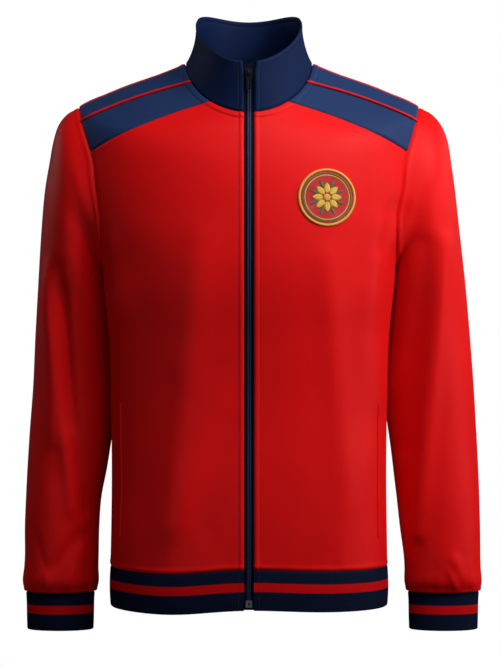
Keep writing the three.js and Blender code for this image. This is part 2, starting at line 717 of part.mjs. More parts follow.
// A point of the zip's line: z up the front, x across, depth behind the cloth's outer face.
function zipPoint(z, x, depth) {
  const neckZ = plainBody(0, NECK).z;
  const side = Math.sign(x) || 1;
  let point;
  let normal;
  if (z < HEM_SEAM_Z + FRONT_LIFT.height) {
    point = plainBody(side * frontEdgeAngle(0, Math.abs(x)), 0);
    normal = bodyNormal(side * frontEdgeAngle(0, Math.abs(x)), 0);
  } else if (z < neckZ) {
    const path = pathAtFront(z, frontEdgeAngle(ARMPIT));
    point = bodyPoint(side * frontEdgeAngle(path, Math.abs(x)), path);
    normal = bodyNormal(side * frontEdgeAngle(path, Math.abs(x)), path);
  } else {
    const height = (z - neckZ) / (neckRim(0).z - neckZ);
    const angle = side * collarEdgeAngle(height, Math.abs(x));
    point = collarPoint(angle, height);
    normal = collarNormal(angle, height);
  }
  return point.setZ(z).addScaledVector(normal.setZ(0).normalize(), -depth);
}

const zipPaths = [...sidePaths, ...neckPaths.slice(1)];
const zipRows = [ZIP_BOTTOM_Z + 1, ...zipPaths.map((path) => plainBody(frontEdgeAngle(path), path).z),
  ...span(0, 1, COUNT.collar).slice(1, -1).map((height) => collarPoint(0, height).z)];
const TAPE_TOP_Z = -12;
// The chain's depth is taken just beside the middle line.
const ZIP_MIDDLE_X = 0.5;

function zipTape(side) {
  const rows = [...zipRows, TAPE_TOP_Z];
  const edges = [TAPE.inner, TAPE.outer];
  const face = (extra) => rows.map((z) => edges.map((x) => zipPoint(z, side * x, TAPE.depth + extra)));
  return wall(face(0), face(TAPE.thickness));
}

function zipChain() {
  const bottom = ZIP_BOTTOM_Z + BOX.height + CHAIN.gap;
  const top = SLIDER.topZ - SLIDER.postHeight - CHAIN.gap;
  const rows = [bottom, ...zipRows.slice(1).filter((z) => z < top - 2), top];
  const edges = [-CHAIN.halfWidth, CHAIN.halfWidth];
  const face = (shift) => rows.map((z) => edges.map((x) => {
    const point = zipPoint(z, ZIP_MIDDLE_X, TAPE.depth - CHAIN.lift + shift);
    return point.setX(x);
  }));
  const [half, middle] = [CHAIN.thickness / 2, TAPE.thickness / 2];
  return wall(face(middle - half), face(middle + half));
}

const wasm = await Module();
wasm.setup();

function toManifold(geometry) {
  const bare = geometry.index ? geometry.toNonIndexed() : geometry.clone();
  bare.deleteAttribute('normal');
  bare.deleteAttribute('uv');
  const merged = mergeVertices(bare, 1e-4);
  return new wasm.Manifold(new wasm.Mesh({
    numProp: 3,
    vertProperties: Float32Array.from(merged.attributes.position.array),
    triVerts: Uint32Array.from(merged.index.array),
  }));
}

function fromManifold(body) {
  const mesh = body.getMesh();
  const geometry = new THREE.BufferGeometry();
  geometry.setAttribute('position', new THREE.BufferAttribute(mesh.vertProperties, 3));
  geometry.setIndex(new THREE.BufferAttribute(mesh.triVerts, 1));
  return geometry;
}

// A flat outline with rounded corners, seen from the front, given a thickness along y.
function plate(width, bottom, top, front, back, corner) {
  const shape = new THREE.Shape();
  const half = width / 2;
  shape.moveTo(-half + corner, bottom);
  shape.lineTo(half - corner, bottom);
  shape.quadraticCurveTo(half, bottom, half, bottom + corner);
  shape.lineTo(half, top - corner);
  shape.quadraticCurveTo(half, top, half - corner, top);
  shape.lineTo(-half + corner, top);
  shape.quadraticCurveTo(-half, top, -half, top - corner);
  shape.lineTo(-half, bottom + corner);
  shape.quadraticCurveTo(-half, bottom, -half + corner, bottom);
  const options = { depth: back - front, bevelEnabled: false, curveSegments: 3 };
  const geometry = new THREE.ExtrudeGeometry(shape, options);
  return geometry.rotateX(Math.PI / 2).translate(0, back, 0);
}

// The slider's own y places, from the chain's middle
function sliderDepths() {
  const z = (SLIDER.topZ + SLIDER.bottomZ) / 2;
  const chainY = zipPoint(z, ZIP_MIDDLE_X, TAPE.depth - CHAIN.lift + TAPE.thickness / 2).y;
  const half = CHAIN.thickness / 2 + SLIDER.room;
  return { chainY, frontIn: chainY - half, backIn: chainY + half };
}

function sliderBody() {
  const { frontIn, backIn } = sliderDepths();
  const { halfWidth, bottomZ, topZ, corner, room } = SLIDER;
  const frontOut = frontIn - SLIDER.plate;
  const front = plate(2 * halfWidth, bottomZ, topZ, frontOut, frontIn, corner);
  const back = plate(2 * halfWidth, bottomZ, topZ, backIn, backIn + SLIDER.plate, corner);
  const post = plate(2 * SLIDER.post, topZ - SLIDER.postHeight, topZ, frontIn - room, backIn + room, room);
  const parts = [front, back, post, bail(frontOut)].map(toManifold);
  return fromManifold(parts.reduce((body, part) => body.add(part)));
}

// The bail: an arch in front of the slider, with a tunnel for the tab's bar
function bail(plateY) {
  const arch = new THREE.Shape();
  const { reach, halfHeight, root, halfWidth } = BAIL;
  const turn = reach - halfHeight * BAIL.shoulder;
  arch.moveTo(-root, -halfHeight);
  arch.lineTo(turn, -halfHeight);
  arch.quadraticCurveTo(reach, -halfHeight, reach, 0);
  arch.quadraticCurveTo(reach, halfHeight, turn, halfHeight);
  arch.lineTo(-root, halfHeight);
  arch.closePath();
  const tunnel = new THREE.Path();
  const inside = halfHeight - BAIL.band;
  const middle = reach / 2 - BAIL.shift;
  tunnel.absellipse(middle, 0, reach / 2 - BAIL.band + BAIL.shift, inside, 0, 2 * Math.PI, true, 0);
  arch.holes.push(tunnel);
  const options = { depth: 2 * halfWidth, bevelEnabled: false, curveSegments: 5 };
  const place = new THREE.Matrix4().set(
    0, 0, 1, -halfWidth,
    -1, 0, 0, plateY,
    0, -1, 0, TAB.axisZ,
    0, 0, 0, 1,
  );
  return new THREE.ExtrudeGeometry(arch, options).applyMatrix4(place);
}

// The pull tab: a flat tongue with a square eye, its bar through the bail
function pullTab() {
  const { frontIn } = sliderDepths();
  const axisY = frontIn - SLIDER.plate - BAIL.reach / 2 + BAIL.shift;
  const [front, back] = [axisY - TAB.cutDepth, axisY + TAB.cutDepth];
  const low = TAB.axisZ - TAB.length;
  const eyeLow = TAB.axisZ - TAB.hole;
  const tongue = plate(2 * TAB.halfWidth, low, TAB.axisZ + TAB.bar, axisY - TAB.halfThickness,
    axisY + TAB.halfThickness, TAB.corner);
  const eye = plate(2 * (TAB.halfWidth - TAB.arm), eyeLow, TAB.axisZ - TAB.bar, front, back, TAB.corner / 3);
  const slotTop = eyeLow - TAB.slotTop;
  const slotCorner = 0.8 * TAB.slotHalfWidth;
  const slot = plate(2 * TAB.slotHalfWidth, low + TAB.slotBottom, slotTop, front, back, slotCorner);
  return fromManifold(toManifold(tongue).subtract(toManifold(eye)).subtract(toManifold(slot)));
}

function bottomBox() {
  const bottom = ZIP_BOTTOM_Z + BOX.gap;
  const top = ZIP_BOTTOM_Z + BOX.height;
  const y = zipPoint((bottom + top) / 2, ZIP_MIDDLE_X, TAPE.depth + TAPE.thickness / 2).y;
  const half = TAPE.thickness / 2 + BOX.gap;
  const box = plate(2 * BOX.halfWidth, bottom, top, y - BOX.halfDepth, y + BOX.halfDepth, BOX.corner);
  const width = BOX.halfWidth;
  const cuts = [-1, 1].map((side) => {
    const slit = plate(width, bottom - BOX.height, top + BOX.height, y - half, y + half, BOX.gap);
    return toManifold(slit.translate(side * (TAPE.inner - BOX.gap + width / 2), 0, 0));
  });
  return fromManifold(cuts.reduce((body, cut) => body.subtract(cut), toManifold(box)));
}

// The jacket, each piece its own named mesh

const jacket = new THREE.Group();

function add(name, geometry, colour, roughness = 0.8, metalness = 0) {
  const material = new THREE.MeshStandardMaterial({ color: colour, roughness, metalness });
  const mesh = new THREE.Mesh(geometry, material);
  mesh.name = name;
  jacket.add(mesh);
}

for (const [word, side] of [['right', -1], ['left', 1]]) {
  add(`front_${word}`, frontPanel(side), COLOURS.red);
  add(`front_yoke_${word}`, yoke(side), COLOURS.navy);
  add(`shoulder_strap_${word}`, strap(side), COLOURS.navy);
  add(`front_piping_${word}`, piping('front', side), COLOURS.darkRed);
  add(`rear_piping_${word}`, piping('rear', side), COLOURS.darkRed);
  add(`sleeve_${word}`, sleeve(side), COLOURS.red);
  add(`cuff_${word}`, cuff(side), COLOURS.navy);
  add(`pocket_welt_${word}`, pocketWelt(side), COLOURS.darkRed);
  add(`zip_tape_${word}`, zipTape(side), COLOURS.tape);
}
add('back', backPanel(), COLOURS.red);
add('collar', collar(), COLOURS.navy);
add('hem_band', hemBand(), COLOURS.navy);
add('zip_chain', zipChain(), COLOURS.tape, 0.5);
add('zip_slider', sliderBody(), COLOURS.metal, 0.4, 0.8);
add('zip_pull_tab', pullTab(), COLOURS.metal, 0.4, 0.8);
add('zip_box', bottomBox(), COLOURS.steel, 0.4, 0.8);

export default jacket;
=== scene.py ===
"""A full-zip track jacket, filled out as if worn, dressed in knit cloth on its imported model.

Shapes are worked out in millimetres and made in metres. +Z runs up the body and the front faces -Y.
"""
import logging
import math
from collections.abc import Callable, Sequence
from dataclasses import dataclass, field
from enum import Enum

import bpy
import numpy as np
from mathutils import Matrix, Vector


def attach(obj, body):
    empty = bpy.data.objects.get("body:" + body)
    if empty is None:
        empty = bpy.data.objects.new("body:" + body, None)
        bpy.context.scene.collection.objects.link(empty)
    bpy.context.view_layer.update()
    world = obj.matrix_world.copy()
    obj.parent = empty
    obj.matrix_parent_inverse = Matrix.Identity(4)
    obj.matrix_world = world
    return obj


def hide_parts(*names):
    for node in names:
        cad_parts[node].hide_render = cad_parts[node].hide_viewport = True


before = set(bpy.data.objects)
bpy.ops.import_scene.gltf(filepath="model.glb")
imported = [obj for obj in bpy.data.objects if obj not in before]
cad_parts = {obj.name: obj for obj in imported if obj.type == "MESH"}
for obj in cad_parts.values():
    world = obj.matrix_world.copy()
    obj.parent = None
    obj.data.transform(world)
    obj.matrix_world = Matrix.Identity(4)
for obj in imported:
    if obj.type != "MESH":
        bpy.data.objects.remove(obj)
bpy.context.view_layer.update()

log = logging.getLogger("jacket")

Array = np.ndarray
MM = 0.001

# Main sizes, in millimetres

NECK = 748.0
ARMPIT = 399.0
HEM_SEAM_Z = -651.0
HEM_BOTTOM_Z = -701.5
CUFF_BOTTOM_Z = -736.5
FRONT_EDGE_X = 6.2
PLACKET_X = 18.0
CLOTH = 1.3
RIB = 2.6
SEAM_GAP = 0.22
PIPED_GAP = 0.9
ANGLE_STEP = 0.4
PATH_STEP = 1.5
LINE_STEP = 0.8
CHUNK = 4000
BISECTIONS = 40


class Side(Enum):
    """The wearer's two sides, as the sign of x."""

    RIGHT = -1
    LEFT = 1

    @property
    def word(self) -> str:
        """The side's word in a piece's name."""
        return self.name.lower()


class Seam(Enum):
    """The shoulder's seams, by the piece or piping that lies along them."""

    YOKE = "yoke"
    FRONT = "front"
    REAR = "rear"


# Small helpers


def mix(low: Array | float, high: Array | float, share: Array | float) -> Array | float:
    """Mixes two values by a share."""
    return low + (high - low) * share


def smooth(value: Array | float) -> Array:
    """Passes softly from 0 to 1 as the value does."""
    share = np.clip(value, 0.0, 1.0)
    return share * share * (3.0 - 2.0 * share)


def signed_power(value: Array, exponent: Array) -> Array:
    """Raises a value's size to a power and keeps its sign."""
    return np.sign(value) * np.abs(value) ** exponent


def unit(vectors: Array) -> Array:
    """Scales vectors to a length of one."""
    return vectors / np.maximum(np.linalg.norm(vectors, axis=-1, keepdims=True), 1e-12)


def bell(distance: Array, width: float) -> Array:
    """A soft bump of height one about nought."""
    return np.exp(-((distance / width) ** 2))


def graded(length: float, coarse: float, fine: float, start: float, end: float) -> Array:
    """Places along a length, close together near its two ends.

    Args:
        length: The whole length.
        coarse: The spacing in the middle.
        fine: The spacing near the ends.
        start: How far the fine spacing reaches from the start.
        end: How far the fine spacing reaches back from the end.

    Returns:
        Rising values from 0 to the length.
    """
    first = np.linspace(0, start, max(round(start / fine), 0) + 1)[:-1]
    middle = np.linspace(start, length - end, max(round((length - start - end) / coarse), 1) + 1)
    last = np.linspace(length - end, length, max(round(end / fine), 0) + 1)[1:]
    return np.concatenate([first, middle, last])


def solve(low: Array, high: Array, rise: Callable[[Array], Array]) -> Array:
    """Finds where a rising function passes nought, between two limits.

    Args:
        low: The lower limits.
        high: The upper limits.
        rise: The function.

    Returns:
        The places, one for each pair of limits.
    """
    low = np.array(low, float)
    high = np.array(high, float)
    for _ in range(BISECTIONS):
        middle = (low + high) / 2
        below = rise(middle) < 0
        low = np.where(below, middle, low)
        high = np.where(below, high, middle)
    return (low + high) / 2


def run_lengths(points: Array) -> Array:
    """The length run along a line of points, at each of them."""
    gaps = np.linalg.norm(np.diff(points, axis=0), axis=-1)
    return np.concatenate([[0.0], np.cumsum(gaps)])


def along_line(places: Array, runs: Array, values: Array) -> Array:
    """Reads columns of values off at places along a line, given the length run at each of its points."""
    return np.stack([np.interp(places, runs, values[:, k]) for k in range(values.shape[1])], axis=-1)


def evened(points: Array, step: float) -> Array:
    """A line of points placed evenly, about one step apart."""
    runs = run_lengths(points)
    places = np.linspace(0, runs[-1], max(int(runs[-1] / step), 2) + 1)
    return along_line(places, runs, points)


def gap_to(points: Array, line: Array) -> Array:
    """The shortest distance from each point of a grid to a line of points.

    Args:
        points: Points of any grid, with x, y and z last.
        line: The line's points.

    Returns:
        A distance for each point of the grid.
    """
    flat = points.reshape(-1, 3)
    near = evened(line, LINE_STEP)
    out = np.empty(len(flat))
    for start in range(0, len(flat), CHUNK):
        part = flat[start:start + CHUNK]
        gaps = ((part[:, None, :] - near[None, :, :]) ** 2).sum(-1)
        out[start:start + CHUNK] = np.sqrt(gaps.min(1))
    return out.reshape(points.shape[:-1])


def pairs(angle: Array | float, path: Array | float) -> Array:
    """Joins angles and paths into pairs."""
    return np.stack(np.broadcast_arrays(angle, path), axis=-1)


@dataclass(frozen=True)
class Table:
    """Rows of sizes along a form, joined by smooth curves; the first column is the key."""

    columns: tuple[str, ...]
    rows: tuple[tuple[float, ...], ...]

    def at(self, key: Array) -> dict[str, Array]:
        """Every column's value at each key.

        Args:
            key: The places along the form.

        Returns:
            Values by column name.
        """
        rows = np.array(self.rows, float)
        keys = rows[:, 0]
        key = np.asarray(key, float)
        low = np.clip(np.searchsorted(keys, key, side="left") - 1, 0, len(keys) - 2)
        before = np.maximum(np.arange(len(keys)) - 1, 0)
        after = np.minimum(np.arange(len(keys)) + 1, len(keys) - 1)
        slopes = (rows[after] - rows[before]) / (keys[after] - keys[before])[:, None]
        span = keys[low + 1] - keys[low]
        share = (key - keys[low]) / span
        values = {}
        for k, name in enumerate(self.columns):
            start, rise = rows[low, k], rows[low + 1, k] - rows[low, k]
            m0, m1 = slopes[low, k] * span, slopes[low + 1, k] * span
            bend = 3 * rise - 2 * m0 - m1 + share * (m0 + m1 - 2 * rise)
            values[name] = start + share * (m0 + share * bend)
        return values


@dataclass(frozen=True)
class Fold:
    """A soft ridge, or a trough where its height is below nought, along a line seen from the front."""

    x1: float
    z1: float
    x2: float
    z2: float
    width: float
    height: float
    face: float


def fold_height(folds: Sequence[Fold], points: Array, normals: Array) -> Array:
    """How far the folds push points of a surface outward.

    Args:
        folds: The folds.
        points: The surface's points.
        normals: The surface's normals.

    Returns:
        A height for each point.
    """
    height = np.zeros(points.shape[:-1])
    for fold in folds:
        dx, dz = fold.x2 - fold.x1, fold.z2 - fold.z1
        along = ((points[..., 0] - fold.x1) * dx + (points[..., 2] - fold.z1) * dz) / (dx * dx + dz * dz)
        near = np.clip(along, 0, 1)
        gap = np.hypot(points[..., 0] - fold.x1 - near * dx, points[..., 2] - fold.z1 - near * dz)
        fade = smooth(0.1 + 1.7 * np.minimum(along + 0.3, 1.3 - along))
        facing = smooth(1.6 * normals[..., 1] * fold.face)
        height += fold.height * fade * facing * bell(gap, fold.width)
    return height


# The body's form: rings from the hem seam, up the side and over the shoulder, to the neck

BODY = Table(
    ("path", "half_width", "front", "back", "middle", "z_side", "z_front", "z_back", "power"),
    (
        (0, 179, 116, 112, -4, -651, -651, -651, 2.6),
        (110, 177.5, 114, 108, -5, -541, -541, -541, 2.6),
        (211, 178.5, 112, 106, -6, -440, -442, -440, 2.55),
        (292, 181, 119, 113, -7, -359, -364, -359, 2.45),
        (356, 187.5, 127, 122, -8, -295, -306, -293, 2.4),
        (399, 192, 130, 127, -8, -252, -268, -246, 2.35),
        (430, 203, 129.5, 128, -7, -222, -242, -206, 2.25),
        (458, 212, 128, 128, -6, -195, -217, -170, 2.18),
        (503, 222, 124, 125, -4, -150, -178, -128, 2.1),
        (536, 224, 120, 120, -3, -117, -152, -96, 2.06),
        (568, 225.5, 115.5, 112, -2, -84, -132, -66, 2.04),
        (592, 221, 111.5, 106, -1, -61, -119, -46, 2.02),
        (609, 209, 109, 102, 0, -52, -111, -37, 2),
        (630, 185, 107, 98, 0, -42, -105, -30, 2),
        (665, 158, 104, 92, 0, -31, -98, -22, 2),
        (711, 115, 99, 84, 0, -16, -87, -11, 2),
        (748, 82.5, 93, 74, 0, -3, -74, -2, 2),
    ),
)

BODY_FOLDS = (
    Fold(168, -215, 150, -330, 16, 4, -1),
    Fold(186, -190, 164, -250, 11, -4, -1),
    Fold(150, -345, 166, -440, 18, 3, -1),
    Fold(-120, -640, -40, -430, 26, 2.5, -1),
    Fold(-150, -560, -95, -420, 22, -2, -1),
    Fold(-176, -235, -160, -330, 13, 3, -1),
    Fold(90, -645, 140, -500, 24, 2.5, -1),
    Fold(-60, -600, -20, -470, 22, -1.8, -1),
    Fold(-165, -200, -60, -300, 20, 4, 1),
    Fold(165, -210, 70, -320, 22, 4, 1),
    Fold(-140, -420, 20, -480, 24, -4, 1),
    Fold(150, -500, -10, -560, 24, 4, 1),
    Fold(-120, -600, -20, -560, 20, 3, 1),
)

# Creases that only the cloth carries: broad ones that even out or deepen the folds above, then fine ones
BODY_CREASES = (
    Fold(-60, -235, -96, -590, 22, 4.2, -1),
    Fold(-130, -260, -150, -590, 26, -2.5, -1),
    Fold(96, -255, 122, -570, 17, 2.8, -1),
    Fold(176, -225, 162, -300, 6, -1.3, -1),
    Fold(160, -255, 152, -345, 7, 1.0, -1),
    Fold(-182, -220, -170, -300, 6, -1.2, -1),
    Fold(-104, -636, -72, -560, 9, 0.8, -1),
    Fold(-30, -640, -50, -590, 8, -0.6, -1),
    Fold(52, -640, 66, -588, 8, 0.6, -1),
    Fold(112, -640, 122, -585, 9, 0.7, -1),
    Fold(150, -640, 148, -570, 9, -0.7, -1),
    Fold(-150, -640, -142, -580, 9, 0.7, -1),
    Fold(-150, -215, -95, -285, 8, -1.5, 1),
    Fold(152, -222, 92, -300, 8, -1.5, 1),
    Fold(-90, -440, -10, -466, 9, -1.2, 1),
    Fold(110, -520, 20, -548, 9, 1.3, 1),
    Fold(-60, -120, -30, -190, 14, 1.2, 1),
    Fold(60, -120, 34, -190, 14, 1.2, 1),
    Fold(-110, -640, -96, -590, 9, 0.8, 1),
    Fold(20, -640, 26, -596, 9, -0.7, 1),
    Fold(96, -640, 88, -584, 9, 0.8, 1),
)

FRONT_LIFT = {"height": 4.0, "half_width": 75.0, "fade": 140.0}
HEM_SAG = {"depth": 3.2, "x": -100.0, "width": 60.0}


class BodyForm:
    """The body's surface, by the angle round it (0 in front, 90 on the wearer's left) and the path up it."""

    @staticmethod
    def plain(angle: Array, path: Array) -> Array:
        """Points of the form without its folds.

        Args:
            angle: Angles in degrees.
            path: Paths up the side, in millimetres.

        Returns:
            Points with x, y and z last.
        """
        angle, path = np.broadcast_arrays(np.asarray(angle, float), np.asarray(path, float))
        ring = BODY.at(path)
        turn = np.radians(angle)
        forward = signed_power(np.cos(turn), 2 / ring["power"])
        front = forward > 0
        reach = np.where(front, ring["front"] + ring["middle"], ring["back"] - ring["middle"])
        rise = np.where(front, ring["z_front"], ring["z_back"]) - ring["z_side"]
        tilt = forward * forward * 1.15 / (np.abs(forward) + 0.15)
        x = ring["half_width"] * signed_power(np.sin(turn), 2 / ring["power"])
        level = np.where(front, smooth(1 - path / FRONT_LIFT["fade"]), 0.0)
        lift = FRONT_LIFT["height"] * level * bell(x, FRONT_LIFT["half_width"])
        sag = HEM_SAG["depth"] * level * bell(x - HEM_SAG["x"], HEM_SAG["width"])
        z = ring["z_side"] + rise * tilt + lift - sag
        return np.stack([x, ring["middle"] - reach * forward, z], axis=-1)

    @classmethod
    def normal(cls, angle: Array, path: Array) -> Array:
        """Outward normals of the form without its folds."""
        path = np.clip(path, 0, NECK)
        across = cls.plain(angle + ANGLE_STEP, path) - cls.plain(angle - ANGLE_STEP, path)
        up = cls.plain(angle, path + PATH_STEP) - cls.plain(angle, path - PATH_STEP)
        return unit(np.cross(across, up))

    @classmethod
    def point(cls, angle: Array, path: Array) -> Array:
        """Points of the form with its folds and creases."""
        path = np.clip(path, 0, NECK)
        points = cls.plain(angle, path)
        normals = cls.normal(angle, path)
        fade = smooth(path / 60) * smooth((NECK - path) / 120)
        heights = fade * fold_height(BODY_FOLDS, points, normals)
        heights = heights + smooth(path / 12) * smooth((NECK - path) / 120) * fold_height(
            BODY_CREASES, points, normals)
        return points + normals * heights[..., None]

    @staticmethod
    def edge_angle(path: Array, x: Array | float = FRONT_EDGE_X) -> Array:
        """The angle at which the front reaches a distance from the middle line."""
        ring = BODY.at(path)
        return np.degrees(np.arcsin((x / ring["half_width"]) ** (ring["power"] / 2)))

    @classmethod
    def path_at(cls, angle: Array | float, z: Array) -> Array:
        """Finds the paths at which the form reaches given heights, at given angles."""
        return solve(np.zeros(z.shape), np.full(z.shape, NECK),
                     lambda path: cls.plain(angle, path)[..., 2] - z)

    @classmethod
    def locate(cls, x: Array, z: Array) -> tuple[Array, Array]:
        """Finds the angle and path of places on the front, seen from the front.

        Args:
            x: Distances from the middle line.
            z: Heights.

        Returns:
            The angles and the paths.
        """
        x = np.asarray(x, float)
        z = np.asarray(z, float)
        path = np.full(x.shape, 400.0)
        angle = np.zeros(x.shape)
        for _ in range(5):
            angle = np.sign(x) * cls.edge_angle(path, np.maximum(np.abs(x), 1e-6))
            path = cls.path_at(angle, z)
        return angle, path


# Armholes and the shoulder's seams

ARMHOLE = {"centre": 496.5, "half_height": 97.5, "half_angle": 29.0, "power": 2.4}
SHOULDER_LINES = {
    Seam.YOKE: {"neck_x": 49.6, "neck_z": -58.5, "arm_x": 197.0, "arm_z": -118.0, "bow": 5.0},
    Seam.FRONT: {"neck_x": 80.0, "neck_z": -32.0, "arm_x": 208.0, "arm_z": -76.0, "bow": 4.0},
}
REAR_SEAM = {"angle": 89.0, "turn": 178.0}


def armhole(turn: Array) -> Array:
    """Angles and paths of the armhole on the wearer's left.

    Args:
        turn: Turns from the armpit (0) up the front to the top (180) and down the back, in degrees.

    Returns:
        Pairs of angle and path.
    """
    turn = np.radians(np.asarray(turn, float))
    bend = 2 / ARMHOLE["power"]
    angle = 90 - ARMHOLE["half_angle"] * signed_power(np.sin(turn), bend)
    path = ARMHOLE["centre"] - ARMHOLE["half_height"] * signed_power(np.cos(turn), bend)
    return pairs(angle, path)


def height_over(line: dict[str, float], places: Array) -> Array:
    """How far places on the body lie above a shoulder line, seen from the front."""
    points = BodyForm.plain(places[..., 0], places[..., 1])
    share = (points[..., 0] - line["neck_x"]) / (line["arm_x"] - line["neck_x"])
    level = mix(line["neck_z"], line["arm_z"], share) + 4 * line["bow"] * share * (1 - share)
    return points[..., 2] - level


class ShoulderSeams:
    """The seams across each shoulder, from the neck to the armhole, on the wearer's left."""

    def __init__(self) -> None:
        """Finds the turn at which each seam meets the armhole."""
        self.turns = {seam: float(solve(60, 175, lambda turn, at=line: height_over(at, armhole(turn))))
                      for seam, line in SHOULDER_LINES.items()}
        self.turns[Seam.REAR] = REAR_SEAM["turn"]

    def places(self, seam: Seam, share: Array) -> Array:
        """Angles and paths along a seam.

        Args:
            seam: The seam.
            share: Shares of the way from the neck (0) to the armhole (1).

        Returns:
            Pairs of angle and path.
        """
        share = np.asarray(share, float)
        end = armhole(self.turns[seam])
        path = mix(NECK, end[1], share)
        if seam is Seam.REAR:
            return pairs(mix(REAR_SEAM["angle"], end[0], share), path)
        line = SHOULDER_LINES[seam]
        low, high = np.full(path.shape, 5.0), np.full(path.shape, 89.0)
        angle = solve(low, high, lambda a: height_over(line, pairs(a, path)))
        return pairs(np.where(share > 1 - 1e-9, end[0], angle), path)

    def neck_angle(self, seam: Seam) -> float:
        """The angle at which a seam meets the neck."""
        return float(self.places(seam, np.array([0.0]))[0, 0])

    def line(self, seam: Seam, side: Side, steps: int = 90) -> tuple[Array, Array]:
        """Points and normals along a seam, on the cloth."""
        places = self.places(seam, np.linspace(0, 1, steps + 1))
        angle = places[:, 0] * side.value
        return BodyForm.point(angle, places[:, 1]), BodyForm.normal(angle, places[:, 1])


SEAMS = ShoulderSeams()


def blend(bottom: Array, top: Array, left: Array, right: Array, across: Array, up: Array) -> Array:
    """Fills a grid of angles and paths between its four edges.

    Args:
        bottom: The bottom edge.
        top: The top edge.
        left: The left edge.
        right: The right edge.
        across: Each column's share of the way across.
        up: Each row's share of the way up.

    Returns:
        Pairs of angle and path, a row for each share up and a column for each share across.
    """
    s = across[None, :, None]
    t = up[:, None, None]
    sides = mix(left[:, None, :], right[:, None, :], s)
    ends = mix(bottom[None], top[None], t)
    corners = mix(mix(bottom[0], bottom[-1], s), mix(top[0], top[-1], s), t)
    return sides + ends - corners


# Meshes


def make_object(name: str, points: Array, faces: Sequence[Sequence[int]], uvs: Array | None = None,
                sharp: float = 50.0) -> bpy.types.Object:
    """Makes a smooth object of a mesh given in millimetres.

    Args:
        name: The piece's name.
        points: The mesh's points.
        faces: The mesh's faces.
        uvs: A pair of texture places in metres for each point.
        sharp: The angle above which an edge stays sharp, in degrees.

    Returns:
        The object, linked to the scene.
    """
    mesh = bpy.data.meshes.new(name)
    mesh.from_pydata((np.asarray(points) * MM).tolist(), [], [list(face) for face in faces])
    if uvs is not None:
        layer = mesh.uv_layers.new(name="cloth")
        loops = np.empty(len(mesh.loops), dtype=np.int32)
        mesh.loops.foreach_get("vertex_index", loops)
        layer.data.foreach_set("uv", np.ascontiguousarray(uvs[loops], dtype=np.float32).ravel())
    mesh.polygons.foreach_set("use_smooth", np.ones(len(mesh.polygons), dtype=bool))
    mesh.set_sharp_from_angle(angle=math.radians(sharp))
    mesh.update()
    made = bpy.data.objects.new(name, mesh)
    bpy.context.scene.collection.objects.link(made)
    return made


def signed_volume(points: Array, faces: Array) -> float:
    """Six times the volume inside quads, above nought when they face outward."""
    a, b, c, d = (points[faces[:, k]] for k in range(4))
    return float((a * np.cross(b, c)).sum() + (a * np.cross(c, d)).sum())


def shell(name: str, outer: Array, inner: Array, joined: bool = False) -> bpy.types.Object:
    """Makes a closed wall between two grids of points.

    Args:
        name: The piece's name.
        outer: The outer grid.
        inner: The inner grid.
        joined: Whether the last column joins the first.

    Returns:
        The piece.
    """
    up, across = outer.shape[:2]
    index = np.arange(2 * up * across).reshape(2, up, across)
    if joined:
        index = np.concatenate([index, index[:, :, :1]], axis=2)
    outside, inside = index

    def quads(a: Array, b: Array, c: Array, d: Array) -> Array:
        """Joins four arrays of corners into quads."""
        return np.stack([a.ravel(), b.ravel(), c.ravel(), d.ravel()], axis=-1)

    parts = [
        quads(outside[:-1, :-1], outside[:-1, 1:], outside[1:, 1:], outside[1:, :-1]),
        quads(inside[:-1, :-1], inside[1:, :-1], inside[1:, 1:], inside[:-1, 1:]),
        quads(inside[0, :-1], inside[0, 1:], outside[0, 1:], outside[0, :-1]),
        quads(outside[-1, :-1], outside[-1, 1:], inside[-1, 1:], inside[-1, :-1]),
    ]
    if not joined:
        parts.append(quads(inside[1:, 0], inside[:-1, 0], outside[:-1, 0], outside[1:, 0]))
        parts.append(quads(outside[1:, -1], outside[:-1, -1], inside[:-1, -1], inside[1:, -1]))
    faces = np.concatenate(parts)
    points = np.concatenate([outer.reshape(-1, 3), inner.reshape(-1, 3)])
    if signed_volume(points, faces) < 0:
        faces = faces[:, ::-1]
    runs = np.stack([run_across(outer), run_up(outer)], axis=-1).reshape(-1, 2) * MM
    return make_object(name, points, faces.tolist(), np.concatenate([runs, runs]))


def run_up(grid: Array) -> Array:
    """The length run up each column of a grid."""
    gaps = np.linalg.norm(np.diff(grid, axis=0), axis=-1)
    return np.concatenate([np.zeros((1, grid.shape[1])), np.cumsum(gaps, axis=0)], axis=0)


def run_across(grid: Array) -> Array:
    """The length run along each row of a grid."""
    return run_up(grid.swapaxes(0, 1)).T


def pull_in(grid: Array, left: float, right: float, bottom: float, top: float) -> Array:
    """Moves a grid's four edges in along its rows and columns."""
    grid = grid.copy()
    grid[:, 0] += unit(grid[:, 1] - grid[:, 0]) * left
    grid[:, -1] += unit(grid[:, -2] - grid[:, -1]) * right
    grid[0] += unit(grid[1] - grid[0]) * bottom
    grid[-1] += unit(grid[-2] - grid[-1]) * top
    return grid


def grid_normals(grid: Array, joined: bool) -> Array:
    """Normals of a grid of points, from its rows and columns."""
    if joined:
        across = np.roll(grid, -1, axis=1) - np.roll(grid, 1, axis=1)
    else:
        across = np.gradient(grid, axis=1)
    return unit(np.cross(across, np.gradient(grid, axis=0)))


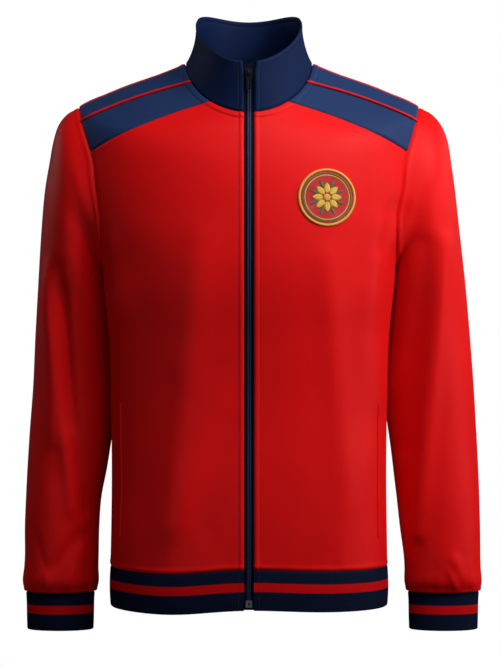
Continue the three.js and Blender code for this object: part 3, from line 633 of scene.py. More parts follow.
def cord_mesh(name: str, line: Array, normals: Array, radius: Array, sides: int) -> bpy.types.Object:
    """Makes a round cord along a line, closed at its ends.

    Args:
        name: The piece's name.
        line: Points along the cord's middle.
        normals: The way up at each of them.
        radius: The cord's radius at each of them.
        sides: How many sides the cord has.

    Returns:
        The piece.
    """
    along = unit(np.gradient(line, axis=0))
    across = unit(np.cross(along, normals))
    up = np.cross(across, along)
    turn = 2 * np.pi * np.arange(sides) / sides
    radii = radius[:, None, None]
    rings = line[:, None] + radii * (across[:, None] * np.cos(turn)[None, :, None]
                                     + up[:, None] * np.sin(turn)[None, :, None])
    points = rings.reshape(-1, 3)
    faces = []
    for k in range(len(line) - 1):
        for i in range(sides):
            j = (i + 1) % sides
            faces.append((k * sides + i, k * sides + j, (k + 1) * sides + j, (k + 1) * sides + i))
    last = (len(line) - 1) * sides
    faces.append(tuple(range(sides - 1, -1, -1)))
    faces.append(tuple(last + i for i in range(sides)))
    runs = np.repeat(run_lengths(line), sides)
    uvs = np.stack([np.tile(turn * np.mean(radii), len(line)), runs], axis=-1) * MM
    return make_object(name, points, faces, uvs)


# Finishes


class Shader:
    """A material's node tree, built a node at a time."""

    def __init__(self, name: str) -> None:
        """Starts a material with a bare surface shader."""
        self.material = bpy.data.materials.new(name)
        self.material.use_nodes = True
        self.tree = self.material.node_tree
        self.surface = self.tree.nodes["Principled BSDF"]

    def node(self, kind: str, inputs: dict[str | int, object] | None = None,
             **settings: object) -> bpy.types.Node:
        """Adds a node.

        Args:
            kind: The node's type.
            inputs: Values or other nodes' outputs, by the input's name or number.
            settings: The node's own settings.

        Returns:
            The node.
        """
        made = self.tree.nodes.new(kind)
        for key, value in settings.items():
            setattr(made, key, value)
        for key, value in (inputs or {}).items():
            self.feed(made.inputs[key], value)
        return made

    def feed(self, socket: bpy.types.NodeSocket, value: object) -> None:
        """Links an output to a socket, or sets the socket's own value."""
        if isinstance(value, bpy.types.NodeSocket):
            self.tree.links.new(value, socket)
        else:
            socket.default_value = value

    def math(self, operation: str, *values: object) -> bpy.types.NodeSocket:
        """Adds a sum and returns its result."""
        return self.node("ShaderNodeMath", dict(enumerate(values)), operation=operation).outputs[0]

    def blend_colour(self, share: object, low: object, high: object) -> bpy.types.NodeSocket:
        """Mixes two colours and returns the result."""
        made = self.node("ShaderNodeMix", data_type="RGBA")
        self.feed(made.inputs[0], share)
        self.feed(made.inputs[6], low)
        self.feed(made.inputs[7], high)
        return made.outputs[2]

    def noise(self, place: object, scale: float, detail: float = 2.0) -> bpy.types.NodeSocket:
        """Adds a noise texture and returns its grey value."""
        return self.node("ShaderNodeTexNoise", {"Vector": place, "Scale": scale, "Detail": detail}).outputs[0]

    def place(self) -> bpy.types.NodeSocket:
        """The place on the object."""
        return self.node("ShaderNodeTexCoord").outputs["Object"]

    def run(self) -> tuple[bpy.types.NodeSocket, bpy.types.NodeSocket]:
        """The places across and up the cloth."""
        uv = self.node("ShaderNodeSeparateXYZ", {0: self.node("ShaderNodeUVMap", uv_map="cloth").outputs[0]})
        return uv.outputs[0], uv.outputs[1]

    def bump(self, strength: float, distance: float, height: object) -> bpy.types.NodeSocket:
        """Bumps the surface by a height and returns its normal."""
        values = {"Strength": strength, "Distance": distance, "Height": height}
        return self.node("ShaderNodeBump", values).outputs[0]

    def dress(self, **values: object) -> None:
        """Sets the surface's inputs; two words of a name are joined by an underline."""
        for key, value in values.items():
            self.feed(self.surface.inputs[key.replace("_", " ")], value)


def rgba(colour: Sequence[float]) -> tuple[float, float, float, float]:
    """A colour with its cover."""
    return (colour[0], colour[1], colour[2], 1.0)


@dataclass(frozen=True)
class Knit:
    """A smooth knit cloth.

    Attributes:
        name: The material's name.
        colour: Its lit colour.
        shade: A darker tone, mixed in at random in broad patches, and in the hollows of the loops as painted
            shade.
        wale: The width of a column of loops, in metres.
        depth: The height of the loops, in metres.
        roughness: How dull it is.
        sheen: How much its nap catches light.
        sheen_tint: The nap's colour.
        specular: How strongly its surface shines.
    """

    name: str
    colour: tuple[float, float, float]
    shade: tuple[float, float, float]
    wale: float = 0.0009
    depth: float = 0.00007
    roughness: float = 0.62
    sheen: float = 0.1
    sheen_tint: tuple[float, float, float] = (1.0, 0.5, 0.5)
    specular: float = 0.15

    def loops(self, shader: Shader, u: object, v: object) -> bpy.types.NodeSocket:
        """The height of the knit's loops, from 0 to about 1.

        Args:
            shader: The material under way.
            u: The place across the cloth.
            v: The place up the cloth.

        Returns:
            The height.
        """
        half = shader.math("PINGPONG", u, self.wale / 2)
        rise = shader.math("MULTIPLY_ADD", half, 1.1, v)
        course = shader.math("SINE", shader.math("MULTIPLY", rise, 2 * math.pi / (self.wale * 0.8)))
        column = shader.math("COSINE", shader.math("MULTIPLY", u, 2 * math.pi / self.wale))
        both = shader.math("MULTIPLY_ADD", course, 0.3, shader.math("MULTIPLY", column, 0.3))
        return shader.math("ADD", both, 0.5)

    def material(self) -> bpy.types.Material:
        """Builds the cloth's material."""
        shader = Shader(self.name)
        place = shader.place()
        u, v = shader.run()
        loops = self.loops(shader, u, v)
        broad = shader.noise(place, 7.0, 3.0)
        fibre = shader.noise(place, 2600.0, 2.0)
        tone = shader.math("MULTIPLY_ADD", shader.math("SUBTRACT", broad, 0.5), 1.1, 0.4)
        speck = shader.math("MULTIPLY_ADD", shader.math("SUBTRACT", fibre, 0.5), 0.5, tone)
        # The hollows of the loops take the darker tone as painted shade; the noise also mixes it in at
        # random.
        share = shader.math("MULTIPLY_ADD", loops, -0.22, speck)
        colour = shader.blend_colour(shader.math("MINIMUM", shader.math("MAXIMUM", share, 0.0), 1.0),
                                     rgba(self.colour), rgba(self.shade))
        height = shader.math("MULTIPLY_ADD", fibre, 0.35, loops)
        bump = shader.bump(0.55, self.depth, height)
        rough = shader.math("MULTIPLY_ADD", broad, 0.12, self.roughness - 0.06)
        shader.dress(Base_Color=colour, Roughness=rough, Normal=bump, Specular_IOR_Level=self.specular,
                     Sheen_Weight=self.sheen, Sheen_Roughness=0.45, Sheen_Tint=rgba(self.sheen_tint))
        return shader.material


@dataclass(frozen=True)
class StripedRib(Knit):
    """A fine rib knit with one stripe knitted in across it.

    Attributes:
        stripe: The stripe's colour.
        low: The place up the rib at which the stripe starts, in metres.
        high: The place at which it ends.
        soft: How far its edges run into the ground on either side.
    """

    stripe: tuple[float, float, float] = (0.5, 0.01, 0.02)
    low: float = 0.0189
    high: float = 0.0299
    soft: float = 0.0004

    def material(self) -> bpy.types.Material:
        """Builds the rib's material."""
        shader = Shader(self.name)
        place = shader.place()
        u, v = shader.run()
        loops = self.loops(shader, u, v)
        broad = shader.noise(place, 11.0, 3.0)
        fibre = shader.noise(place, 2600.0, 2.0)
        edge = shader.math("MULTIPLY_ADD", loops, 0.0005, v)
        rise, fall = (shader.node("ShaderNodeMapRange", {0: edge, 1: at - self.soft, 2: at + self.soft})
                      for at in (self.low, self.high))
        inside = shader.math("SUBTRACT", rise.outputs[0], fall.outputs[0])
        tone = shader.math("MULTIPLY_ADD", broad, 0.7, shader.math("MULTIPLY", fibre, 0.3))
        ground = shader.blend_colour(tone, rgba(self.colour), rgba(self.shade))
        dark_stripe = tuple(0.6 * part for part in self.stripe)
        stripe = shader.blend_colour(tone, rgba(self.stripe), rgba(dark_stripe))
        colour = shader.blend_colour(inside, ground, stripe)
        height = shader.math("MULTIPLY_ADD", fibre, 0.3, loops)
        bump = shader.bump(0.6, self.depth, height)
        shader.dress(Base_Color=colour, Roughness=0.72, Normal=bump, Specular_IOR_Level=self.specular,
                     Sheen_Weight=self.sheen, Sheen_Roughness=0.5, Sheen_Tint=rgba(self.sheen_tint))
        return shader.material


@dataclass(frozen=True)
class Thread:
    """Sewing or embroidery thread, twisted along its length.

    Attributes:
        name: The material's name.
        colour: Its colour.
        pitch: The length of a twist, in metres.
        gloss: How bright its lustre is.
    """

    name: str
    colour: tuple[float, float, float]
    pitch: float = 0.0005
    gloss: float = 0.45

    def material(self) -> bpy.types.Material:
        """Builds the thread's material."""
        shader = Shader(self.name)
        place = shader.place()
        u, v = shader.run()
        lean = shader.math("MULTIPLY_ADD", u, 0.6, v)
        twist = shader.math("SINE", shader.math("MULTIPLY", lean, 2 * math.pi / self.pitch))
        fibre = shader.noise(place, 1800.0, 2.0)
        shadow = tuple(0.55 * part for part in self.colour)
        share = shader.math("MULTIPLY_ADD", twist, 0.2, shader.math("MULTIPLY_ADD", fibre, 0.5, 0.12))
        colour = shader.blend_colour(share, rgba(self.colour), rgba(shadow))
        bump = shader.bump(0.6, 0.0001, twist)
        shader.dress(Base_Color=colour, Roughness=1 - self.gloss, Normal=bump,
                     Specular_IOR_Level=0.4, Sheen_Weight=0.15)
        return shader.material


@dataclass(frozen=True)
class Metal:
    """A small cast metal part, lacquered or bare.

    Attributes:
        name: The material's name.
        colour: Its colour.
        metallic: How metallic it is.
        roughness: How dull it is.
    """

    name: str
    colour: tuple[float, float, float]
    metallic: float
    roughness: float

    def material(self) -> bpy.types.Material:
        """Builds the metal's material."""
        shader = Shader(self.name)
        place = shader.place()
        broad = shader.noise(place, 260.0, 4.0)
        grain = shader.noise(place, 2400.0, 3.0)
        worn = tuple(min(2.2 * part, 1.0) for part in self.colour)
        rub = shader.math("MAXIMUM", shader.math("SUBTRACT", broad, 0.48), 0.0)
        share = shader.math("MULTIPLY", rub, 2.2)
        colour = shader.blend_colour(share, rgba(self.colour), rgba(worn))
        rough = shader.math("MULTIPLY_ADD", grain, 0.16, self.roughness - 0.08)
        bump = shader.bump(0.25, 0.00005, grain)
        shader.dress(Base_Color=colour, Metallic=self.metallic, Roughness=rough, Normal=bump)
        return shader.material


RED_CLOTH = Knit("red_jersey", (0.8, 0.004, 0.005), (0.6, 0.0015, 0.002), specular=0.11, roughness=0.52,
                 sheen=0.02, sheen_tint=(1.0, 0.35, 0.3))
NAVY_CLOTH = Knit("navy_jersey", (0.014, 0.036, 0.118), (0.008, 0.021, 0.072), specular=0.12, sheen=0.04,
                  sheen_tint=(0.4, 0.6, 1.0))
# The collar's navy is the yoke's navy jersey made darker: painted shade on the forward-facing collar, which
# gets less light than the yoke.
COLLAR_NAVY_PAINTED_SHADE = Knit("navy_collar_jersey_painted_shade", (0.0035, 0.013, 0.058), (0.002, 0.007, 0.031), specular=0.07,
                    sheen=0.0, sheen_tint=(0.4, 0.6, 1.0))
HEM_RIB, CUFF_RIB = (
    StripedRib(name, (0.0035, 0.008, 0.031), (0.002, 0.005, 0.02), wale=0.0012, depth=0.0001, specular=0.07,
               sheen=0.0, stripe=(0.72, 0.002, 0.004)) for name in ("hem_rib", "cuff_rib"))
PIPING_CLOTH = Knit("piping_satin", (0.66, 0.006, 0.01), (0.42, 0.003, 0.006), wale=0.0006, roughness=0.5)
# The tape's dark navy is made darker still: painted shade for the tape where it lies sunk between the fronts'
# edges.
ZIP_TAPE_PAINTED_SHADE = Knit("zip_tape_weave_painted_shade", (0.003, 0.006, 0.018), (0.0015, 0.003, 0.01), wale=0.0008, depth=0.0001,
                  specular=0.06, sheen=0.0, roughness=0.7)
COIL = Knit("zip_coil", (0.012, 0.028, 0.065), (0.006, 0.014, 0.034), wale=0.0007, depth=0.00006,
            roughness=0.35, specular=0.2, sheen=0.0)
RED_THREAD = Thread("red_thread", (0.8, 0.02, 0.02))
NAVY_THREAD = Thread("navy_thread", (0.02, 0.05, 0.14), gloss=0.35)
RIB_THREAD = Thread("rib_thread", (0.004, 0.009, 0.028), gloss=0.25)
GOLD_THREAD = Thread("gold_thread", (0.86, 0.56, 0.07), gloss=0.6)
GREEN_THREAD = Thread("green_thread", (0.02, 0.2, 0.04), gloss=0.5)
BADGE_THREAD = Thread("badge_red_thread", (0.62, 0.01, 0.015), gloss=0.5)
BLACK_METAL = Metal("black_lacquer", (0.008, 0.0085, 0.011), 0.35, 0.32)
GREY_METAL = Metal("grey_steel", (0.26, 0.27, 0.26), 0.9, 0.42)


@dataclass
class Wardrobe:
    """The finishes in use, each built once."""

    made: dict[str, bpy.types.Material] = field(default_factory=dict)

    def get(self, finish: Knit | Thread | Metal) -> bpy.types.Material:
        """The material of a finish, built when it is first asked for."""
        if finish.name not in self.made:
            self.made[finish.name] = finish.material()
        return self.made[finish.name]


WARDROBE = Wardrobe()


def dress(piece: bpy.types.Object, finish: Knit | Thread | Metal,
          body: str = "root") -> bpy.types.Object:
    """Gives a piece its finish and the body that it rides on.

    Args:
        piece: The piece.
        finish: Its finish.
        body: The body.

    Returns:
        The piece.
    """
    piece.data.materials.clear()
    piece.data.materials.append(WARDROBE.get(finish))
    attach(piece, body)
    log.info("%s: %d faces", piece.name, len(piece.data.polygons))
    return piece


def declare_sheet(outer: Array, joined: bool = False) -> None:
    """Works out the width of a cloth piece's outer face, and keeps nothing of it.

    Args:
        outer: Its outer grid, in millimetres.
        joined: Whether the grid joins round.
    """
    grid = np.concatenate([outer, outer[:, :1]], axis=1) if joined else outer
    width = float(run_across(grid)[:, -1].max()) * MM


# Sewn edges


@dataclass(frozen=True)
class SewnEdge:
    """How cloth shapes itself beside a seam.

    Attributes:
        dip: How deep the seam lies.
        width: How far the dip reaches.
        puff: How high the cloth stands beside it.
        allowance: The width of the turned-in cloth under it, or 0.
        raise_by: How far that lifts the cloth.
        groove: How deep the row of stitching beside it pulls the cloth in.
    """

    dip: float = 0.75
    width: float = 1.3
    puff: float = 0.25
    allowance: float = 0.0
    raise_by: float = 0.0
    groove: float = 0.0

    def height(self, gap: Array) -> Array:
        """The height of the cloth at a distance from the seam."""
        out = -self.dip * bell(gap, self.width) + self.puff * bell(gap - 4.0, 3.0)
        if self.allowance:
            over = smooth((self.allowance - gap) / 1.2 + 0.5)
            out = out + self.raise_by * over * (1 - bell(gap, self.width))
            out = out - self.groove * bell(gap - self.allowance, 0.9)
        return out


PLAIN_SEAM = SewnEdge(dip=1.7, width=1.1, puff=0.35)
ARMHOLE_SEAM = SewnEdge(dip=1.1, width=1.0, puff=0.3)
SLEEVE_HEAD = SewnEdge(dip=0.5, width=1.0, puff=0.9)
NECK_SEAM = SewnEdge(dip=1.0, width=1.2, puff=0.0, allowance=8.6, raise_by=0.9, groove=0.75)
FRONT_FOLD = SewnEdge(dip=1.3, width=1.0, puff=0.0, allowance=6.6, raise_by=0.7, groove=0.55)
PIPED_SEAM = SewnEdge(dip=1.9, width=2.3, puff=0.3)
RIB_SEAM = SewnEdge(dip=1.4, width=1.5, puff=0.6)


def neck_line(side: Side | None = None) -> Array:
    """Points along the neck seam, all round or on one side."""
    angles = np.linspace(0.5, 359.5, 500) if side is None else np.linspace(0.5, 179.5, 260) * side.value
    return BodyForm.point(angles, np.full(angles.shape, NECK))


def armhole_line(side: Side) -> Array:
    """Points along an armhole's seam."""
    places = armhole(np.linspace(0, 360, 361))
    return BodyForm.point(places[:, 0] * side.value, places[:, 1])


def side_line(side: Side) -> Array:
    """Points along a side seam."""
    paths = np.linspace(0, ARMPIT, 140)
    return BodyForm.point(np.full(paths.shape, 90.0 * side.value), paths)


def hem_line() -> Array:
    """Points along the hem seam, all round."""
    angles = np.linspace(0, 360, 721)
    return BodyForm.point(angles, np.zeros(angles.shape))


def front_edge_line(side: Side) -> Array:
    """Points along a front's edge."""
    paths = np.linspace(0, NECK, 260)
    return BodyForm.point(BodyForm.edge_angle(paths) * side.value, paths)


@dataclass
class BodyCloth:
    """The body's cut pieces: two fronts, two yokes, two shoulder straps and the back.

    Attributes:
        side_step: The spacing of rows up the side.
        column_step: The spacing of columns, as a share of a tenth of the front.
    """

    side_step: float = 5.0
    column_step: float = 0.24

    def rows(self, turn_start: float, turn_end: float) -> tuple[Array, Array, Array]:
        """Rows up the side and then up the armhole.

        Args:
            turn_start: The armhole turn of the first row above the armpit.
            turn_end: The armhole turn of the last row.

        Returns:
            The side's paths, the armhole's turns, and every row's share of the way up the armhole.
        """
        paths = graded(ARMPIT, self.side_step, 1.1, 10, 5)
        shares = graded(1.0, 0.022, 0.005, 0.02, 0.06)
        turns = mix(turn_start, turn_end, shares)
        return paths[:-1], turns, np.concatenate([np.zeros(len(paths) - 1), shares])

    def wall(self, name: str, grid: Array, edges: Sequence[tuple[Array, SewnEdge]], finish: Knit, slot: str,
             pulls: tuple[float, float, float, float], rests_on: Sequence[str]) -> bpy.types.Object:
        """Makes one piece of the body from its grid of angles and paths.

        Args:
            name: The name of the CAD node that it replaces.
            grid: Pairs of angle and path.
            edges: Lines of points and how the cloth is shaped beside each.
            finish: The cloth.
            slot: The material slot; not used.
            pulls: How far the left, right, bottom and top edges move in.
            rests_on: What it is sewn to; not used.

        Returns:
            The piece.
        """
        base = BodyForm.point(grid[..., 0], grid[..., 1])
        normals = BodyForm.normal(grid[..., 0], grid[..., 1])
        height = np.zeros(base.shape[:-1])
        for line, edge in edges:
            height += edge.height(gap_to(base, line))
        height += self.gathers(base, grid[..., 1])
        base = pull_in(base, *pulls)
        outer = base + normals * height[..., None]
        inner = base - normals * CLOTH
        piece = dress(shell(f"{name}_cloth", outer, inner), finish)
        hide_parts(name)
        declare_sheet(outer)
        return piece

    @staticmethod
    def gathers(points: Array, paths: Array) -> Array:
        """Small soft gathers where the rib draws the body in."""
        wave = np.sin(points[..., 0] / 6.1) + 0.7 * np.sin(points[..., 0] / 3.7 + points[..., 1] / 9.0)
        return 0.32 * wave * smooth(paths / 6) * np.exp(-np.maximum(paths, 0) / 16)

    def front(self, side: Side) -> bpy.types.Object:
        """Makes one front."""
        paths, turns, up = self.rows(0.0, SEAMS.turns[Seam.YOKE])
        x = np.linspace(FRONT_EDGE_X, PLACKET_X, 13)
        rest = np.concatenate([graded(3, self.column_step, 0.08, 0, 0.3)[1:],
                               3 + graded(7, self.column_step, 0.08, 0.3, 0.4)[1:]])
        bottom_angles = np.concatenate([BodyForm.edge_angle(np.zeros(13), x),
                                        mix(BodyForm.edge_angle(0.0, PLACKET_X), 90, rest / 10)])
        neck_share = np.minimum(rest, 3) / 3
        neck_angles = mix(BodyForm.edge_angle(NECK, PLACKET_X), SEAMS.neck_angle(Seam.YOKE), neck_share)
        seam = SEAMS.places(Seam.YOKE, np.maximum(rest - 3, 0) / 7)
        top_rest = np.where((rest <= 3)[:, None], pairs(neck_angles, NECK), seam)
        top = np.concatenate([pairs(BodyForm.edge_angle(np.full(13, NECK), x), NECK), top_rest])
        bottom = pairs(bottom_angles, 0.0)
        left_paths = np.concatenate([paths, mix(ARMPIT, NECK, up[len(paths):])])
        left = pairs(BodyForm.edge_angle(left_paths), left_paths)
        right = np.concatenate([pairs(90.0, paths), armhole(turns)])
        across = (bottom_angles - bottom_angles[0]) / (bottom_angles[-1] - bottom_angles[0])
        grid = blend(bottom, top, left, right, across, up)
        grid[..., 0] *= side.value
        edges = [(neck_line(side), NECK_SEAM), (SEAMS.line(Seam.YOKE, side)[0], PLAIN_SEAM),
                 (armhole_line(side), ARMHOLE_SEAM), (side_line(side), PLAIN_SEAM), (hem_line(), RIB_SEAM),
                 (front_edge_line(side), FRONT_FOLD)]
        return self.wall(f"front_{side.word}", grid, edges, RED_CLOTH, "red_cloth",
                         (0, SEAM_GAP, SEAM_GAP, SEAM_GAP), ["hem_band", "collar"])

    def shoulder(self, name: str, lower: Seam, upper: Seam, side: Side) -> bpy.types.Object:
        """Makes a piece between two of the shoulder's seams.

        Args:
            name: The name of the CAD node that it replaces, without its side.
            lower: The seam below it.
            upper: The seam above it.
            side: The side.

        Returns:
            The piece.
        """
        across = graded(1.0, 0.022, 0.007, 0.09, 0.05)
        up = graded(1.0, 0.07, 0.03, 0.15, 0.15)
        turns = mix(SEAMS.turns[lower], SEAMS.turns[upper], up)
        angles = mix(SEAMS.neck_angle(lower), SEAMS.neck_angle(upper), up)
        left = pairs(angles, NECK)
        low, high = SEAMS.places(lower, across), SEAMS.places(upper, across)
        grid = blend(low, high, left, armhole(turns), across, up)
        grid[..., 0] *= side.value
        low_edge = PLAIN_SEAM if lower is Seam.YOKE else PIPED_SEAM
        edges = [(neck_line(side), NECK_SEAM), (SEAMS.line(lower, side)[0], low_edge),
                 (SEAMS.line(upper, side)[0], PIPED_SEAM), (armhole_line(side), ARMHOLE_SEAM)]
        low_pull = SEAM_GAP if lower is Seam.YOKE else PIPED_GAP
        return self.wall(f"{name}_{side.word}", grid, edges, NAVY_CLOTH, "navy_cloth",
                         (SEAM_GAP, SEAM_GAP, low_pull, PIPED_GAP), [f"front_{side.word}", "back"])

    def back(self) -> bpy.types.Object:
        """Makes the back."""
        paths, turns, up = self.rows(360.0, SEAMS.turns[Seam.REAR])
        columns = np.concatenate([graded(7, 0.26, 0.08, 0.4, 0.2), 7 + graded(10, 0.26, 0.08, 0.2, 0.2)[1:],
                                  17 + graded(7, 0.26, 0.08, 0.2, 0.4)[1:]])
        bottom = pairs(mix(90.0, 270.0, columns / 24), 0.0)
        rear = SEAMS.neck_angle(Seam.REAR)
        first = SEAMS.places(Seam.REAR, np.maximum(7 - columns, 0) / 7)
        last = SEAMS.places(Seam.REAR, np.maximum(columns - 17, 0) / 7) * [-1, 1] + [360, 0]
        neck = pairs(mix(rear, 360 - rear, np.clip(columns - 7, 0, 10) / 10), NECK)
        top = np.where((columns < 7)[:, None], first, np.where((columns > 17)[:, None], last, neck))
        left = np.concatenate([pairs(90.0, paths), armhole(turns)])
        right = left * [-1, 1] + [360, 0]
        grid = blend(bottom, top, left, right, columns / 24, up)
        edges = [(neck_line(), NECK_SEAM), (hem_line(), RIB_SEAM)]
        for side in Side:
            edges += [(SEAMS.line(Seam.REAR, side)[0], PIPED_SEAM), (armhole_line(side), ARMHOLE_SEAM),
                      (side_line(side), PLAIN_SEAM)]
        return self.wall("back", grid, edges, RED_CLOTH, "red_cloth", (SEAM_GAP, SEAM_GAP, SEAM_GAP, 0.6),
                         ["hem_band", "collar"])

    def build(self) -> None:
        """Makes every piece of the body."""
        self.back()
        for side in Side:
            self.front(side)
            self.shoulder("front_yoke", Seam.YOKE, Seam.FRONT, side)
            self.shoulder("shoulder_strap", Seam.FRONT, Seam.REAR, side)


@dataclass
class Piping:
    """The red pipings in the shoulder's two upper seams.

    Attributes:
        radius: The cord's radius.
        trim: How far its ends stay from the seams that it runs into.
        front_lift: How far the front cords stand off the cloth.
        rear_lift: The same for the rear cords, which lie a little sunk.
        sides: How many sides a cord has.
    """

    radius: float = 1.75
    trim: float = 0.3
    front_lift: float = 0.7
    rear_lift: float = -0.5
    sides: int = 14

    def build(self) -> None:
        """Makes the four cords."""
        for side in Side:
            for seam, name in ((Seam.FRONT, "front_piping"), (Seam.REAR, "rear_piping")):
                self.cord(f"{name}_{side.word}", seam, side)

    def cord(self, node: str, seam: Seam, side: Side) -> None:
        """Makes one cord along its seam, a little fuller at its neck end where it turns in."""
        line, normals = SEAMS.line(seam, side, 160)
        runs = run_lengths(line)
        places = np.linspace(self.trim, runs[-1] - self.trim, 150)
        line, normals = along_line(places, runs, line), along_line(places, runs, normals)
        ends = smooth((places - self.trim) / 1.5) * smooth((runs[-1] - self.trim - places) / 1.5)
        knot = 0.25 * bell(places - 5, 3.0)
        radius = self.radius * (0.55 + 0.45 * ends + knot) + 0.05 * np.sin(places / 2.3)
        lift = self.front_lift if seam is Seam.FRONT else self.rear_lift
        line = line + normals * (lift + knot[:, None])
        made = cord_mesh(f"{node}_cord", line, normals, radius, self.sides)
        piece = dress(made, PIPING_CLOTH)
        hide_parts(node)


# Sleeves

SLEEVE = Table(
    ("row", "outer_z", "inner_z", "middle", "half_depth",
     "outer_right", "inner_right", "outer_left", "inner_left"),
    tuple((k, *row) for k, row in enumerate((
        (-59, -252, 0, 60, 222, 192, 223, 192),
        (-66, -257, 0, 60, 236, 194, 238, 194.5),
        (-80, -262, 1, 61, 247.5, 194, 250, 195),
        (-100, -268, 4, 63, 254, 193.5, 258, 194.5),
        (-129, -277, 9, 66, 259.5, 192, 263, 193),
        (-168, -291, 15, 70, 266.5, 190.5, 269, 191.5),
        (-225, -312, 22, 72, 272, 188.5, 276, 189.5),
        (-290, -342, 29, 71, 276.5, 186, 284, 187),
        (-355, -382, 32, 68, 280.5, 183.5, 290, 185),
        (-420, -430, 32, 64, 283.5, 181, 295, 183),
        (-478, -480, 28, 59, 287.5, 180, 298, 184),
        (-525, -525, 23, 54, 290, 185.5, 300, 188.5),
        (-566, -566, 17, 49, 291.5, 193, 301, 193),
        (-605, -605, 12, 44, 292.5, 195.5, 301.5, 197),
        (-640, -640, 8, 40, 292, 196, 301.5, 201.5),
        (-668, -668, 6, 36, 293, 197, 301.5, 203.5),
        (-688, -688, 5, 26, 289, 202, 298, 208),
    ))),
)

SLEEVE_FOLDS = {
    Side.RIGHT: (
        Fold(-262, -285, -252, -490, 10, 4, -1),
        Fold(-238, -300, -232, -470, 12, -5, -1),
        Fold(-226, -150, -214, -240, 13, -4, -1),
        Fold(-270, -520, -240, -640, 12, 3, -1),
        Fold(-215, -610, -255, -660, 9, -3, -1),
        Fold(-262, -250, -232, -420, 16, -5, 1),
        Fold(-220, -420, -270, -560, 16, 5, 1),
    ),
    Side.LEFT: (
        Fold(245, -250, 236, -445, 13, -6, -1),
        Fold(262, -300, 252, -390, 9, 4, -1),
        Fold(212, -170, 222, -260, 13, -4, -1),
        Fold(262, -640, 276, -672, 8, 3, -1),
        Fold(288, -480, 250, -620, 12, 3, -1),
        Fold(262, -240, 236, -430, 16, -5, 1),
        Fold(225, -430, 275, -570, 16, 5, 1),
    ),
}

# Broad creases that even out or deepen the folds above, then fine ones
SLEEVE_CREASES = {
    Side.RIGHT: (
        Fold(-226, -150, -214, -240, 13, 3.5, -1),
        Fold(-270, -520, -240, -640, 12, -2.4, -1),
        Fold(-262, -265, -228, -580, 8, 3.6, -1),
        Fold(-245, -265, -212, -580, 8, -4.5, -1),
        Fold(-226, -250, -205, -340, 6, 1.2, -1),
        Fold(-280, -600, -262, -655, 6, -1.1, -1),
        Fold(-225, -655, -236, -682, 5, 1.2, -1),
        Fold(-262, -660, -258, -685, 5, 0.9, -1),
        Fold(-240, -270, -215, -330, 7, 1.5, 1),
        Fold(-270, -480, -235, -530, 7, -1.3, 1),
    ),
    Side.LEFT: (
        Fold(212, -170, 222, -260, 13, 3.2, -1),
        Fold(245, -250, 236, -445, 13, 6, -1),
        Fold(262, -300, 252, -390, 9, -3, -1),
        Fold(288, -480, 250, -620, 12, -3, -1),
        Fold(251, -235, 218, -610, 11, 6.6, -1),
        Fold(226, -240, 196, -500, 14, -5.5, -1),
        Fold(255, -655, 268, -682, 4, 1.6, -1),
        Fold(240, -650, 236, -684, 5, -0.9, -1),
        Fold(284, -650, 288, -682, 5, 0.9, -1),
        Fold(245, -260, 220, -330, 7, 1.5, 1),
        Fold(235, -480, 272, -535, 7, -1.3, 1),
    ),
}


